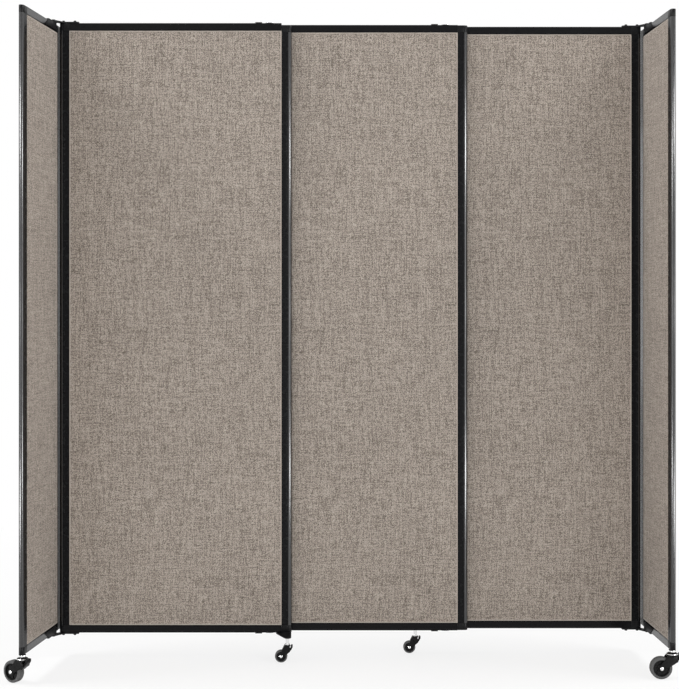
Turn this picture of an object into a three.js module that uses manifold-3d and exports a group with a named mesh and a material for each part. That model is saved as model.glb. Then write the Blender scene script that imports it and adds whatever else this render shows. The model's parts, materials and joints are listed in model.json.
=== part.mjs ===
// Sliding privacy screen: three telescoping fabric panels, two hinged end wings, four locking casters
import * as THREE from "three";
import { mergeVertices } from "three/addons/utils/BufferGeometryUtils.js";
import Module from "manifold-3d";

const wasm = await Module();
wasm.setup();

// Fits: gap under a seated piece, running gap of a moving piece, overrun of every cut
const SEAT = 0.3;
const FIT = 0.3;
const OVERRUN = 2;

// Main panels: outside size of a frame, overlap of two neighbours, depth step between them
const PANEL_WIDTH = 836;
const PANEL_HEIGHT = 2195;
const PANEL_OVERLAP = 199;
const PANEL_PITCH = 32;

// Wings: width, how much shorter than a main panel at each end, opening past square at rest
const WING_WIDTH = 380;
const WING_DROP = 9;
const LEFT_SPLAY = THREE.MathUtils.degToRad(7.1);
const RIGHT_SPLAY = THREE.MathUtils.degToRad(2.8);

// Frame section: depth, stile with flat face, seam and rounded nose, rail with edge lines
const FRAME_DEPTH = 19;
const STILE_WIDTH = 36;
const FLAT_WIDTH = 22.5;
const SEAM_WIDTH = 1.5;
const SEAM_DEPTH = 1.5;
const NOSE_STEPS = 5;
const NECK_STEPS = 2;
const RAIL_HEIGHT = 27.7;
const RAIL_ROUND = 2;
const RAIL_ROUND_STEPS = 2;
const RAIL_CHAMFER = 0.8;
const LINE_INSET = 3;
const LINE_WIDTH = 0.8;
const LINE_DEPTH = 0.5;
const LEFT_INNER_TOP_DROP = 6;

// End caps of the stiles: height, seam below the cap, step below the rail's outer face
const CAP_HEIGHT = 24;
const CAP_SEAM = 1.2;
const CAP_SEAM_DEPTH = 0.7;
const END_STEP = 1.5;

// Fabric board and its slot in the frame
const BOARD_DEPTH = 15;
const BOARD_ENTRY = 8;

// Tracks: two grooves in the outer face of each main rail
const TRACK_OFFSET = 5;
const TRACK_WIDTH = 4;
const TRACK_DEPTH = 4.5;

// Slide brackets
const BRACKET_INSET = 80;
const BRACKET_BASE = 28;
const BRACKET_ARM = 24;
const BRACKET_THICKNESS = 2.5;
const BRACKET_SCREW_SPREAD = 19;
const BRACKET_SCREW_RADIUS = 3;
const BRACKET_SCREW_HEIGHT = 1.8;

// Wing pivots: place of the pin beside and in front of the panel, leaves, pin and cap
const PIN_OUT = 16;
const PIN_FORWARD = 21;
const PIN_FROM_HINGE_END = 55;
const PIN_RADIUS = 4;
const PIN_CAP_RADIUS = 7;
const PIN_CAP_HEIGHT = 2.4;
const BOSS_RADIUS = 8;
const LEAF_THICKNESS = 4.5;
const LEAF_LENGTH = 70;
const FINGER_RADIUS = 12;
const FINGER_ROOT = 12;
const LEAF_SCREW_FIRST = 13.5;
const LEAF_SCREW_SPREAD = 41;
const LEAF_SCREW_RADIUS = 5.2;
const LEAF_SCREW_HEIGHT = 3.4;
const WING_LEAF_BACK = 15;
const WING_LEAF_FRONT = 120;
const FLANGE_BACK = 4;
const FLANGE_THICKNESS = 2;
const FLANGE_HEIGHT = 22;
const FLANGE_SLANT = 16;

// Round parts: facets of a turned piece, of a screw head and of a hexagon nut
const WHEEL_FACETS = 22;
const CUP_FACETS = 18;
const TURN_FACETS = 12;
const ROUND_FACETS = 16;
const SCREW_FACETS = 8;
const NUT_FACETS = 6;
const ARC_STEPS = 6;
const HEAD_WALL_SHARE = 0.5;
const HEAD_CROWN_SHARE = 0.62;

// Large caster under each wing
const WING_CASTER = {
  wheelRadius: 37.5,
  wheelWidth: 26,
  wheelClearance: 1,
  trail: 39,
  crownRadius: 20,
  crownHeight: 6.7,
  crownBack: 26,
  sideGap: 0.8,
  sideThickness: 3,
  axleRadius: 4,
  axleBoss: 10,
  axleCapRadius: 6,
  axleCapDepth: 2.5,
  kingpinRadius: 5,
  rivetRadius: 8,
  rivetHeight: 3,
  pivotForward: 11,
  pivotDrop: 12,
  pivotRadius: 2.5,
  pivotBarrel: 4.5,
  pivotBoss: 6,
  pedalReach: 20,
  pedalRise: 23,
  pedalClearance: 1.5,
};
const WING_STEM_INSET = 18;
const LEFT_CASTER_FACING = THREE.MathUtils.degToRad(-31);
const RIGHT_CASTER_FACING = 0;
const CUP_RADIUS = 20;
const CUP_HEIGHT = 7;
const CUP_LIP = 2.5;
const NUT_RADIUS = 11;
const NUT_HEIGHT = 8.7;
const STUD_RADIUS = 5;
const STUD_LENGTH = 20;

// Small caster under the inner end of the left and of the right panel
const LEG_CASTER = {
  wheelRadius: 22,
  wheelWidth: 16,
  wheelClearance: 11,
  trail: 22,
  crownRadius: 11,
  crownHeight: 7,
  crownBack: 12,
  sideGap: 0.7,
  sideThickness: 2.2,
  axleRadius: 3,
  axleBoss: 7,
  axleCapRadius: 4.5,
  axleCapDepth: 1.5,
  kingpinRadius: 3.5,
  rivetRadius: 5.5,
  rivetHeight: 2,
  pivotForward: 6.4,
  pivotDrop: 13,
  pivotRadius: 1.8,
  pivotBarrel: 3,
  pivotBoss: 4.2,
  pedalReach: 12.5,
  pedalRise: 20,
  pedalClearance: 1.2,
};
const LEG_STEM_RADIUS = 6.5;
const LEG_COLLAR_RADIUS = 8.5;
const LEG_COLLAR_HEIGHT = 4;
const LEG_STUD_RADIUS = 4;
const LEG_STUD_SINK = 0.6;

// Foot plates of the small casters: places along and across the panel, plan sizes
const PLATE_THICKNESS = 4;
const PLATE_ROUND = 13;
const PLATE_SCREW_RADIUS = 4.5;
const PLATE_SCREW_HEIGHT = 2.4;
const ARM_STEM_INSET = 12;
const ARM_STEM_FORWARD = 58;
const ARM_BASE_FROM = 1.5;
const ARM_BASE_LENGTH = 54;
const ARM_SCREW_SPREAD = 28;
const FOOT_STEM_INSET = 12;
const FOOT_STEM_FORWARD = 5.5;
const FOOT_LENGTH = 36;
const FOOT_SCREW_INSET = 8;
const FOOT_SCREW_SPREAD = 13;

// Shares of the wheel radius that shape the tyre and the brake lever
const TYRE_SHOULDER_SHARE = 0.14;
const RIM_SHARE = 0.72;
const HUB_SHARE = 0.34;
const RIM_RECESS_SHARE = 0.1;
const TOE_SHARES = [
  [0.107, -0.16],
  [-0.21, -0.43],
  [-0.333, -0.36],
  [-0.107, 0.053],
  [0.08, 0.16],
];
const PEDAL_LOW_SHARE = 0.17;
const PEDAL_MID_SHARE = 0.6;
const PEDAL_KNEE_SHARE = 0.65;
const PEDAL_WIDTH_SHARE = 0.8;

// Heights that follow from the casters and the frames
const CASTER_TOP =
  WING_CASTER.wheelRadius * 2 + WING_CASTER.wheelClearance + WING_CASTER.crownHeight + SEAT;
const WING_BOTTOM = CASTER_TOP + CUP_HEIGHT + NUT_HEIGHT + SEAT;
const PANEL_BOTTOM = WING_BOTTOM - WING_DROP;
const WING_HEIGHT = PANEL_HEIGHT - WING_DROP * 2;
const HALF_DEPTH = FRAME_DEPTH / 2;
const SLOT_HALF = BOARD_DEPTH / 2 + SEAT;
const SLOT_DEPTH = BOARD_ENTRY + SEAT;

// Finishes
const FRAME_BLACK = { color: 0x1b1b1d, roughness: 0.42, metalness: 0.6 };
const LEAF_BLACK = { color: 0x242426, roughness: 0.5, metalness: 0.6 };
const FABRIC_TAUPE = { color: 0x948a81, roughness: 0.95, metalness: 0 };
const BRIGHT_STEEL = { color: 0xc9c9c9, roughness: 0.18, metalness: 1 };
const CASTER_BLACK = { color: 0x19191a, roughness: 0.55, metalness: 0 };
const TYRE_BLACK = { color: 0x141414, roughness: 0.8, metalness: 0 };

// Turns a closed geometry into a solid whose faces point outwards
function solidOf(geometry) {
  geometry.deleteAttribute("normal");
  geometry.deleteAttribute("uv");
  const merged = mergeVertices(geometry);
  const index = Array.from(merged.index.array);
  const faces = [];
  for (let at = 0; at < index.length; at += 3) {
    const [a, b, c] = index.slice(at, at + 3);
    if (a !== b && b !== c && c !== a) {
      faces.push([a, b, c]);
    }
  }
  const build = (triangles) =>
    new wasm.Manifold(
      new wasm.Mesh({
        numProp: 3,
        vertProperties: merged.attributes.position.array,
        triVerts: new Uint32Array(triangles.flat()),
      }),
    );
  const made = build(faces);
  return made.volume() < 0 ? build(faces.map(([a, b, c]) => [c, b, a])) : made;
}

// Joins a list of solids into one
function join(solids) {
  return solids.reduce((whole, next) => whole.add(next));
}

// Box between three pairs of limits
function block(...limits) {
  const sizes = limits.map(([from, to]) => Math.abs(to - from));
  const centres = limits.map(([from, to]) => (from + to) / 2);
  const geometry = new THREE.BoxGeometry(...sizes);
  geometry.translate(...centres);
  return solidOf(geometry);
}

// Outline pushed out to a length
function extruded(outline, length) {
  const shape = new THREE.Shape(outline.map(([x, y]) => new THREE.Vector2(x, y)));
  return new THREE.ExtrudeGeometry(shape, { depth: length, bevelEnabled: false });
}

// Outline in x and y, standing between two heights
function upright(outline, from, to) {
  const geometry = extruded(outline, to - from);
  geometry.translate(0, 0, from);
  return solidOf(geometry);
}

// Outline in y and z, running along x
function alongX(outline, from, to) {
  const geometry = extruded(outline, to - from);
  const turn = new THREE.Matrix4().makeBasis(
    new THREE.Vector3(0, 1, 0),
    new THREE.Vector3(0, 0, 1),
    new THREE.Vector3(1, 0, 0),
  );
  geometry.applyMatrix4(turn);
  geometry.translate(from, 0, 0);
  return solidOf(geometry);
}

// Outline in x and z, running across y
function alongY(outline, from, to) {
  const geometry = extruded(outline, to - from);
  geometry.rotateX(Math.PI / 2);
  geometry.translate(0, to, 0);
  return solidOf(geometry);
}

// Turned piece around a vertical axis, from pairs of radius and height
function turned(profile, facets, x, y) {
  const points = profile.map(([radius, z]) => new THREE.Vector2(radius, z));
  const geometry = new THREE.LatheGeometry(points, facets);
  geometry.rotateX(Math.PI / 2);
  geometry.translate(x, y, 0);
  return solidOf(geometry);
}

// Turned piece around an axis along y, from pairs of radius and distance
function turnedAcross(profile, facets, x, z) {
  const points = profile.map(([radius, y]) => new THREE.Vector2(radius, y));
  const geometry = new THREE.LatheGeometry(points, facets);
  geometry.translate(x, 0, z);
  return solidOf(geometry);
}

// Plain round bar, upright or across
function bar(radius, from, to, x, y, facets = TURN_FACETS) {
  return turned([[0, from], [radius, from], [radius, to], [0, to]], facets, x, y);
}
function barAcross(radius, from, to, x, z, facets = TURN_FACETS) {
  return turnedAcross([[0, from], [radius, from], [radius, to], [0, to]], facets, x, z);
}

// Pan head of a screw that grows from a face at a height, up (1) or down (-1)
function panHead(radius, height, x, y, face, way) {
  const profile = [
    [0, 0],
    [radius, 0],
    [radius, height * HEAD_WALL_SHARE],
    [radius * HEAD_CROWN_SHARE, height],
    [0, height],
  ];
  return turned(profile.map(([r, z]) => [r, face + way * z]), SCREW_FACETS, x, y);
}

// Points of an arc of an ellipse
function arc([x, y], [rx, ry], from, to, steps) {
  return Array.from({ length: steps + 1 }, (_, step) => {
    const angle = from + ((to - from) * step) / steps;
    return [x + rx * Math.cos(angle), y + ry * Math.sin(angle)];
  });
}

// Outer rim of a set of points
function hull(points) {
  const sorted = [...points].sort((a, b) => a[0] - b[0] || a[1] - b[1]);
  const cross = (o, a, b) => (a[0] - o[0]) * (b[1] - o[1]) - (a[1] - o[1]) * (b[0] - o[0]);
  const chain = (list) => {
    const rim = [];
    for (const point of list) {
      while (rim.length > 1 && cross(rim.at(-2), rim.at(-1), point) <= 0) {
        rim.pop();
      }
      rim.push(point);
    }
    return rim.slice(0, -1);
  };
  return [...chain(sorted), ...chain([...sorted].reverse())];
}

// Named mesh of a solid
function piece(name, body, finish) {
  const { vertProperties, triVerts } = body.getMesh();
  const geometry = new THREE.BufferGeometry();
  geometry.setAttribute("position", new THREE.BufferAttribute(Float32Array.from(vertProperties), 3));
  geometry.setIndex(new THREE.BufferAttribute(Uint32Array.from(triVerts), 1));
  const faceted = geometry.toNonIndexed();
  faceted.computeVertexNormals();
  const mesh = new THREE.Mesh(faceted, new THREE.MeshStandardMaterial(finish));
  mesh.name = name;
  return mesh;
}

// Group at a place, turned about the vertical
function groupAt(name, x, y, z, turn = 0) {
  const group = new THREE.Group();
  group.name = name;
  group.position.set(x, y, z);
  group.rotation.z = turn;
  return group;
}

// Where the rounded nose of a stile starts, from its fabric edge
const NOSE_FROM = FLAT_WIDTH + SEAM_WIDTH;

// Rounded nose of a stile with its surface an inset below the outer one
function nose(inset, steps) {
  const radii = [STILE_WIDTH - NOSE_FROM - inset, HALF_DEPTH - inset];
  return arc([NOSE_FROM, 0], radii, -Math.PI / 2, Math.PI / 2, steps);
}

// Section of a stile: flat face from the fabric edge, seam, rounded nose
function stileOutline() {
  const floor = HALF_DEPTH - SEAM_DEPTH;
  return [
    [0, -HALF_DEPTH],
    [FLAT_WIDTH, -HALF_DEPTH],
    [FLAT_WIDTH, -floor],
    [NOSE_FROM, -floor],
    ...nose(0, NOSE_STEPS),
    [NOSE_FROM, floor],
    [FLAT_WIDTH, floor],
    [FLAT_WIDTH, HALF_DEPTH],
    [0, HALF_DEPTH],
  ];
}

// Section of the neck between a stile and its end cap
function neckOutline() {
  const half = HALF_DEPTH - CAP_SEAM_DEPTH;
  return [[CAP_SEAM_DEPTH, -half], ...nose(CAP_SEAM_DEPTH, NECK_STEPS), [CAP_SEAM_DEPTH, half]];
}

// Stile with its end caps; its fabric edge is at x = edge and its nose points outwards
function stile(edge, outwards, height, topDrop) {
  const placed = (outline) => outline.map(([u, v]) => [edge + outwards * u, v]);
  const full = placed(stileOutline());
  const neck = placed(neckOutline());
  const bottom = END_STEP;
  const top = height - END_STEP - topDrop;
  const seam = CAP_HEIGHT + CAP_SEAM;
  const slot = block(
    [edge - outwards * OVERRUN, edge + outwards * SLOT_DEPTH],
    [-SLOT_HALF, SLOT_HALF],
    [RAIL_HEIGHT - SLOT_DEPTH, height - RAIL_HEIGHT + SLOT_DEPTH],
  );
  return join([
    upright(full, bottom, bottom + CAP_HEIGHT),
    upright(neck, bottom + CAP_HEIGHT / 2, bottom + seam + CAP_HEIGHT / 2),
    upright(full, bottom + seam, top - seam),
    upright(neck, top - seam - CAP_HEIGHT / 2, top - CAP_HEIGHT / 2),
    upright(full, top - CAP_HEIGHT, top),
  ]).subtract(slot);
}

// Thin line cut into the face of a rail, as outline points from its inner to its outer edge
function edgeLine(at) {
  return [
    [HALF_DEPTH, at],
    [HALF_DEPTH - LINE_DEPTH, at],
    [HALF_DEPTH - LINE_DEPTH, at + LINE_WIDTH],
    [HALF_DEPTH, at + LINE_WIDTH],
  ];
}

// Section of a rail, measured across and from its inner edge outwards
function railOutline(tracks) {
  const round = [HALF_DEPTH - RAIL_ROUND, RAIL_HEIGHT - RAIL_ROUND];
  const trackOuter = TRACK_OFFSET + TRACK_WIDTH / 2;
  const trackInner = TRACK_OFFSET - TRACK_WIDTH / 2;
  const track = [
    [trackOuter, RAIL_HEIGHT],
    [trackOuter, RAIL_HEIGHT - TRACK_DEPTH],
    [trackInner, RAIL_HEIGHT - TRACK_DEPTH],
    [trackInner, RAIL_HEIGHT],
  ];
  const half = [
    [SLOT_HALF, SLOT_DEPTH],
    [SLOT_HALF, 0],
    [HALF_DEPTH - RAIL_CHAMFER, 0],
    [HALF_DEPTH, RAIL_CHAMFER],
    ...edgeLine(LINE_INSET),
    ...edgeLine(RAIL_HEIGHT - LINE_INSET - LINE_WIDTH),
    ...arc(round, [RAIL_ROUND, RAIL_ROUND], 0, Math.PI / 2, RAIL_ROUND_STEPS),
    ...(tracks ? track : []),
  ];
  return [...half, ...half.map(([v, w]) => [-v, w]).reverse()];
}

// Rail between the stiles, at the bottom (way -1) or the top (way 1) of a frame
function rail(width, height, way, tracks) {
  const edge = way > 0 ? height - RAIL_HEIGHT : RAIL_HEIGHT;
  const outline = railOutline(tracks).map(([v, w]) => [v, edge + way * w]);
  return alongX(outline, STILE_WIDTH + SEAT, width - STILE_WIDTH - SEAT);
}

// Fabric-covered board that enters the slots all round
function board(width, height) {
  const side = STILE_WIDTH - BOARD_ENTRY;
  const end = RAIL_HEIGHT - BOARD_ENTRY;
  return block(
    [side, width - side],
    [-BOARD_DEPTH / 2, BOARD_DEPTH / 2],
    [end, height - end],
  );
}

// Frame with its board: x from 0 to the width, y across the middle plane, z from 0 up
function addFrame(group, name, width, height, tracks, [first, last], lastStile) {
  group.add(
    piece(`${name}_${first}_stile`, stile(STILE_WIDTH, -1, height, 0), FRAME_BLACK),
    piece(`${name}_${last}_stile`, lastStile, FRAME_BLACK),
    piece(`${name}_top_rail`, rail(width, height, 1, tracks), FRAME_BLACK),
    piece(`${name}_bottom_rail`, rail(width, height, -1, tracks), FRAME_BLACK),
    piece(`${name}_board`, board(width, height), FABRIC_TAUPE),
  );
}

// Slide bracket on the outer face of a rail; toward is the side of the neighbour, way is up or down
function slideBracket(x, toward, face, way) {
  const up = (distance) => face + way * distance;
  const base = SEAT + BRACKET_THICKNESS;
  const top = base + BRACKET_THICKNESS;
  const armHalf = BRACKET_ARM / 2;
  const near = HALF_DEPTH - BRACKET_THICKNESS;
  const tongue = PANEL_PITCH - TRACK_OFFSET;
  const tongueHalf = TRACK_WIDTH / 2 - FIT;
  const arm = [x - armHalf, x + armHalf];
  const foot = [x - BRACKET_BASE / 2, x + BRACKET_BASE / 2];
  const heads = [-1, 1].map((side) =>
    panHead(
      BRACKET_SCREW_RADIUS,
      BRACKET_SCREW_HEIGHT,
      x + (side * BRACKET_SCREW_SPREAD) / 2,
      (toward * near) / 2,
      up(base),
      way,
    ),
  );
  return join([
    block(foot, [toward * SEAT, toward * HALF_DEPTH], [up(SEAT), up(base)]),
    block(arm, [toward * near, toward * HALF_DEPTH], [up(SEAT), up(top)]),
    block(arm, [toward * near, toward * (PANEL_PITCH - SEAT)], [up(base), up(top)]),
    block(
      arm,
      [toward * (tongue - tongueHalf), toward * (tongue + tongueHalf)],
      [up(FIT - TRACK_DEPTH), up(top)],
    ),
    ...heads,
  ]);
}

// Both brackets of one end of a panel, on the top and the bottom rail
function addBrackets(group, name, x, toward) {
  group.add(
    piece(`${name}_top_bracket`, slideBracket(x, toward, PANEL_HEIGHT, 1), LEAF_BLACK),
    piece(`${name}_bottom_bracket`, slideBracket(x, toward, 0, -1), LEAF_BLACK),
  );
}

// Leaf on the outer end of a main panel, with the finger that holds the pivot
function mainLeaf(end, inwards, face, way) {
  const pin = [end - inwards * PIN_OUT, -HALF_DEPTH - PIN_FORWARD];
  const root = [end + inwards * FINGER_ROOT, 0];
  const circle = (centre, radius) => arc(centre, [radius, radius], 0, Math.PI * 2, ROUND_FACETS);
  const levels = [face + way * SEAT, face + way * (SEAT + LEAF_THICKNESS)].sort((a, b) => a - b);
  const [low, high] = levels;
  const outer = face + way * (SEAT + LEAF_THICKNESS);
  const finger = upright(hull([...circle(pin, FINGER_RADIUS), ...circle(root, HALF_DEPTH)]), low, high);
  const plate = block([end, end + inwards * LEAF_LENGTH], [-HALF_DEPTH, HALF_DEPTH], levels);
  const hole = bar(PIN_RADIUS + FIT, low - OVERRUN, high + OVERRUN, ...pin);
  const heads = [LEAF_SCREW_FIRST, LEAF_SCREW_FIRST + LEAF_SCREW_SPREAD].map((from) =>
    panHead(LEAF_SCREW_RADIUS, LEAF_SCREW_HEIGHT, end + inwards * from, 0, outer, way),
  );
  return join([plate, finger, ...heads]).subtract(hole);
}

// Leaf on a wing rail around the pivot: top plate, side flange, boss, pin and cap
function wingLeaf(face, way, inner) {
  const up = (distance) => face + way * distance;
  const sorted = (...levels) => levels.map(up).sort((a, b) => a - b);
  const plateTop = SEAT + LEAF_THICKNESS;
  const fingerBottom = WING_DROP + SEAT;
  const flangeOuter = HALF_DEPTH + SEAT + FLANGE_THICKNESS;
  const roundEnd = arc(
    [HALF_DEPTH - WING_LEAF_BACK, 0],
    [HALF_DEPTH, HALF_DEPTH],
    Math.PI / 2,
    (Math.PI * 3) / 2,
    ARC_STEPS,
  );
  const plan = [...roundEnd, [WING_LEAF_FRONT, -HALF_DEPTH], [WING_LEAF_FRONT, HALF_DEPTH]];
  const plate = upright(plan, ...sorted(SEAT, plateTop));
  const lip = block([FLANGE_BACK, WING_LEAF_FRONT], [0, inner * flangeOuter], sorted(SEAT, plateTop));
  const side = [
    [FLANGE_BACK, up(plateTop)],
    [FLANGE_BACK, up(-FLANGE_HEIGHT)],
    [WING_LEAF_FRONT - FLANGE_SLANT, up(-FLANGE_HEIGHT)],
    [WING_LEAF_FRONT, up(plateTop)],
  ];
  const across = [inner * (HALF_DEPTH + SEAT), inner * flangeOuter].sort((a, b) => a - b);
  const flange = alongY(side, ...across);
  const capBottom = fingerBottom + LEAF_THICKNESS + FIT;
  const boss = bar(BOSS_RADIUS, ...sorted(SEAT, fingerBottom - FIT), 0, 0);
  const pin = bar(PIN_RADIUS, ...sorted(SEAT, capBottom + PIN_CAP_HEIGHT), 0, 0);
  const cap = bar(PIN_CAP_RADIUS, ...sorted(capBottom, capBottom + PIN_CAP_HEIGHT), 0, 0);
  const heads = [WING_LEAF_FRONT / 2, WING_LEAF_FRONT - FLANGE_SLANT].map((x) =>
    panHead(LEAF_SCREW_RADIUS, LEAF_SCREW_HEIGHT, x, 0, up(plateTop), way),
  );
  return join([plate, lip, flange, boss, pin, cap, ...heads]);
}

// Wheel with a hollow rim face, turned around its axle
function wheel(spec) {
  const half = spec.wheelWidth / 2;
  const radius = spec.wheelRadius;
  const shoulder = radius * TYRE_SHOULDER_SHARE;
  const rim = radius * RIM_SHARE;
  const hub = radius * HUB_SHARE;
  const recess = half - radius * RIM_RECESS_SHARE;
  const bore = spec.axleRadius + FIT;
  const right = [
    [radius, half - shoulder],
    [radius - shoulder, half],
    [rim, half],
    [rim, recess],
    [hub, recess],
    [hub, half],
    [bore, half],
  ];
  const left = right.map(([r, y]) => [r, -y]).reverse();
  return turnedAcross([...left, ...right, left[0]], WHEEL_FACETS, 0, 0);
}

// Side plate outline of a fork, around the axle, the lever pin and the crown
function forkSide(spec) {
  const crownTop = spec.wheelRadius * 2 + spec.wheelClearance + spec.crownHeight;
  const crownBottom = crownTop - spec.crownHeight;
  const circle = (x, z, radius) => arc([x, z], [radius, radius], 0, Math.PI * 2, ARC_STEPS * 2);
  return hull([
    ...circle(-spec.trail, spec.wheelRadius, spec.axleBoss),
    ...circle(spec.pivotForward, crownBottom - spec.pivotDrop, spec.pivotBoss),
    [-spec.crownBack, crownTop],
    [-spec.crownBack, crownBottom],
    [spec.pivotForward, crownTop],
  ]);
}

// Fork that swivels about x = y = 0 with its axle behind
function fork(spec) {
  const crownBottom = spec.wheelRadius * 2 + spec.wheelClearance;
  const crownTop = crownBottom + spec.crownHeight;
  const inner = spec.wheelWidth / 2 + spec.sideGap;
  const outer = inner + spec.sideThickness;
  const cap = outer + spec.axleCapDepth;
  const outline = forkSide(spec);
  const pivotZ = crownBottom - spec.pivotDrop;
  const solids = [
    bar(spec.crownRadius, crownBottom, crownTop, 0, 0, CUP_FACETS),
    block([-spec.crownBack, 0], [-outer, outer], [crownBottom, crownTop]),
    alongY(outline, -outer, -inner),
    alongY(outline, inner, outer),
    barAcross(spec.axleRadius, -outer, outer, -spec.trail, spec.wheelRadius),
    barAcross(spec.axleCapRadius, outer - spec.sideThickness / 2, cap, -spec.trail, spec.wheelRadius),
    barAcross(spec.axleCapRadius, -cap, spec.sideThickness / 2 - outer, -spec.trail, spec.wheelRadius),
  ];
  const socket = bar(spec.kingpinRadius + FIT, crownBottom - OVERRUN, crownTop + OVERRUN, 0, 0);
  const across = outer + OVERRUN;
  const hole = barAcross(spec.pivotRadius + FIT, -across, across, spec.pivotForward, pivotZ);
  return join(solids).subtract(socket).subtract(hole);
}

// Brake lever around its own pin: toe towards the wheel, pedal in front of the crown
function brakeLever(spec) {
  const inner = spec.wheelWidth / 2 + spec.sideGap - FIT;
  const outer = inner + FIT + spec.sideThickness;
  const padHalf = inner * PEDAL_WIDTH_SHARE;
  const padInner = spec.crownRadius + spec.pedalClearance - spec.pivotForward;
  const padLow = spec.pivotDrop - spec.pedalClearance;
  const outline = [
    ...TOE_SHARES.slice(0, 3).map(([x, z]) => [x * spec.wheelRadius, z * spec.wheelRadius]).reverse(),
    [spec.pedalReach * PEDAL_KNEE_SHARE, spec.pedalRise * PEDAL_LOW_SHARE],
    [spec.pedalReach, spec.pedalRise * PEDAL_MID_SHARE],
    [spec.pedalReach, spec.pedalRise],
    [padInner, spec.pedalRise],
    [padInner, padLow],
    ...TOE_SHARES.slice(3).map(([x, z]) => [x * spec.wheelRadius, z * spec.wheelRadius]).reverse(),
  ];
  return join([
    alongY(outline, -padHalf, padHalf),
    barAcross(spec.pivotBarrel, -inner, inner, 0, 0),
    barAcross(spec.pivotRadius, -outer, outer, 0, 0),
  ]);
}

// Swivelling part of a caster at a place on the floor; the trail points along its own -x
function addCaster(group, name, spec, x, y, turn, floor) {
  const swivel = groupAt(`${name}_swivel`, x, y, floor, turn);
  const axle = groupAt(`${name}_axle`, -spec.trail, 0, spec.wheelRadius);
  const lever = groupAt(
    `${name}_lever`,
    spec.pivotForward,
    0,
    spec.wheelRadius * 2 + spec.wheelClearance - spec.pivotDrop,
  );
  axle.add(piece(`${name}_wheel`, wheel(spec), TYRE_BLACK));
  lever.add(piece(`${name}_brake`, brakeLever(spec), CASTER_BLACK));
  swivel.add(piece(`${name}_fork`, fork(spec), CASTER_BLACK), axle, lever);
  group.add(swivel);
}

// Foot of a stem: king pin through the crown and its rivet head below
function stemFoot(spec) {
  const crownBottom = spec.wheelRadius * 2 + spec.wheelClearance;
  const headTop = crownBottom - SEAT;
  return [
    [0, headTop - spec.rivetHeight],
    [spec.rivetRadius, headTop - spec.rivetHeight],
    [spec.rivetRadius, headTop],
    [spec.kingpinRadius, headTop],
  ];
}

// Stem of a large caster: cup, nut and stud that enters the post
function wingStem() {
  const spec = WING_CASTER;
  const cupBottom = CASTER_TOP;
  const cupTop = cupBottom + CUP_HEIGHT;
  const nutTop = cupTop + NUT_HEIGHT;
  const profile = [
    ...stemFoot(spec),
    [spec.kingpinRadius, cupBottom],
    [CUP_RADIUS, cupBottom],
    [CUP_RADIUS, cupBottom + CUP_LIP],
    [NUT_RADIUS, cupTop],
    [STUD_RADIUS, cupTop],
    [STUD_RADIUS, nutTop + STUD_LENGTH],
    [0, nutTop + STUD_LENGTH],
  ];
  const nut = bar(NUT_RADIUS, cupTop - CUP_LIP, nutTop, 0, 0, NUT_FACETS);
  return join([turned(profile, CUP_FACETS, 0, 0), nut]);
}

// Stem of a small caster, up to a foot plate whose underside is at a height
function legStem(underside) {
  const spec = LEG_CASTER;
  const collar = spec.wheelRadius * 2 + spec.wheelClearance + spec.crownHeight + SEAT;
  const top = underside - SEAT;
  const profile = [
    ...stemFoot(spec),
    [spec.kingpinRadius, collar],
    [LEG_COLLAR_RADIUS, collar],
    [LEG_COLLAR_RADIUS, collar + LEG_COLLAR_HEIGHT],
    [LEG_STEM_RADIUS, collar + LEG_COLLAR_HEIGHT],
    [LEG_STEM_RADIUS, top],
    [LEG_STUD_RADIUS, top],
    [LEG_STUD_RADIUS, underside + PLATE_THICKNESS - LEG_STUD_SINK],
    [0, underside + PLATE_THICKNESS - LEG_STUD_SINK],
  ];
  return turned(profile, TURN_FACETS, 0, 0);
}

// Plate under a rail with a hole for a stem and its screws below
function footPlate(outline, stem, screws) {
  const top = -SEAT;
  const bottom = top - PLATE_THICKNESS;
  const hole = bar(LEG_STUD_RADIUS + FIT, bottom - OVERRUN, top + OVERRUN, ...stem);
  const heads = screws.map(([x, y]) =>
    panHead(PLATE_SCREW_RADIUS, PLATE_SCREW_HEIGHT, x, y, bottom, -1),
  );
  return join([upright(outline, bottom, top), ...heads]).subtract(hole);
}

// Forward arm at the inner end of the left panel with its caster
function addForwardArm(group) {
  const stem = [PANEL_WIDTH - ARM_STEM_INSET, -HALF_DEPTH - ARM_STEM_FORWARD];
  const to = PANEL_WIDTH - ARM_BASE_FROM;
  const from = to - ARM_BASE_LENGTH;
  const outline = hull([
    [from, HALF_DEPTH],
    [from, -HALF_DEPTH],
    [to, HALF_DEPTH],
    [to, -HALF_DEPTH],
    ...arc(stem, [PLATE_ROUND, PLATE_ROUND], 0, Math.PI * 2, ROUND_FACETS),
  ]);
  const middle = (from + to) / 2;
  const screws = [-1, 1].map((side) => [middle + (side * ARM_SCREW_SPREAD) / 2, 0]);
  group.add(piece("forward_arm", footPlate(outline, stem, screws), LEAF_BLACK));
  addLeg(group, "front_caster", stem);
}

// Short foot plate at the inner end of the right panel with its caster
function addFootPlate(group) {
  const stem = [FOOT_STEM_INSET, -FOOT_STEM_FORWARD];
  const to = FOOT_STEM_INSET + FOOT_LENGTH;
  const outline = hull([
    [to, HALF_DEPTH],
    [to, -HALF_DEPTH],
    ...arc(stem, [PLATE_ROUND, PLATE_ROUND], 0, Math.PI * 2, ROUND_FACETS),
  ]);
  const screws = [0, 1].map((place) => [to - FOOT_SCREW_INSET - place * FOOT_SCREW_SPREAD, 0]);
  group.add(piece("foot_plate", footPlate(outline, stem, screws), LEAF_BLACK));
  addLeg(group, "rear_caster", stem);
}

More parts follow.
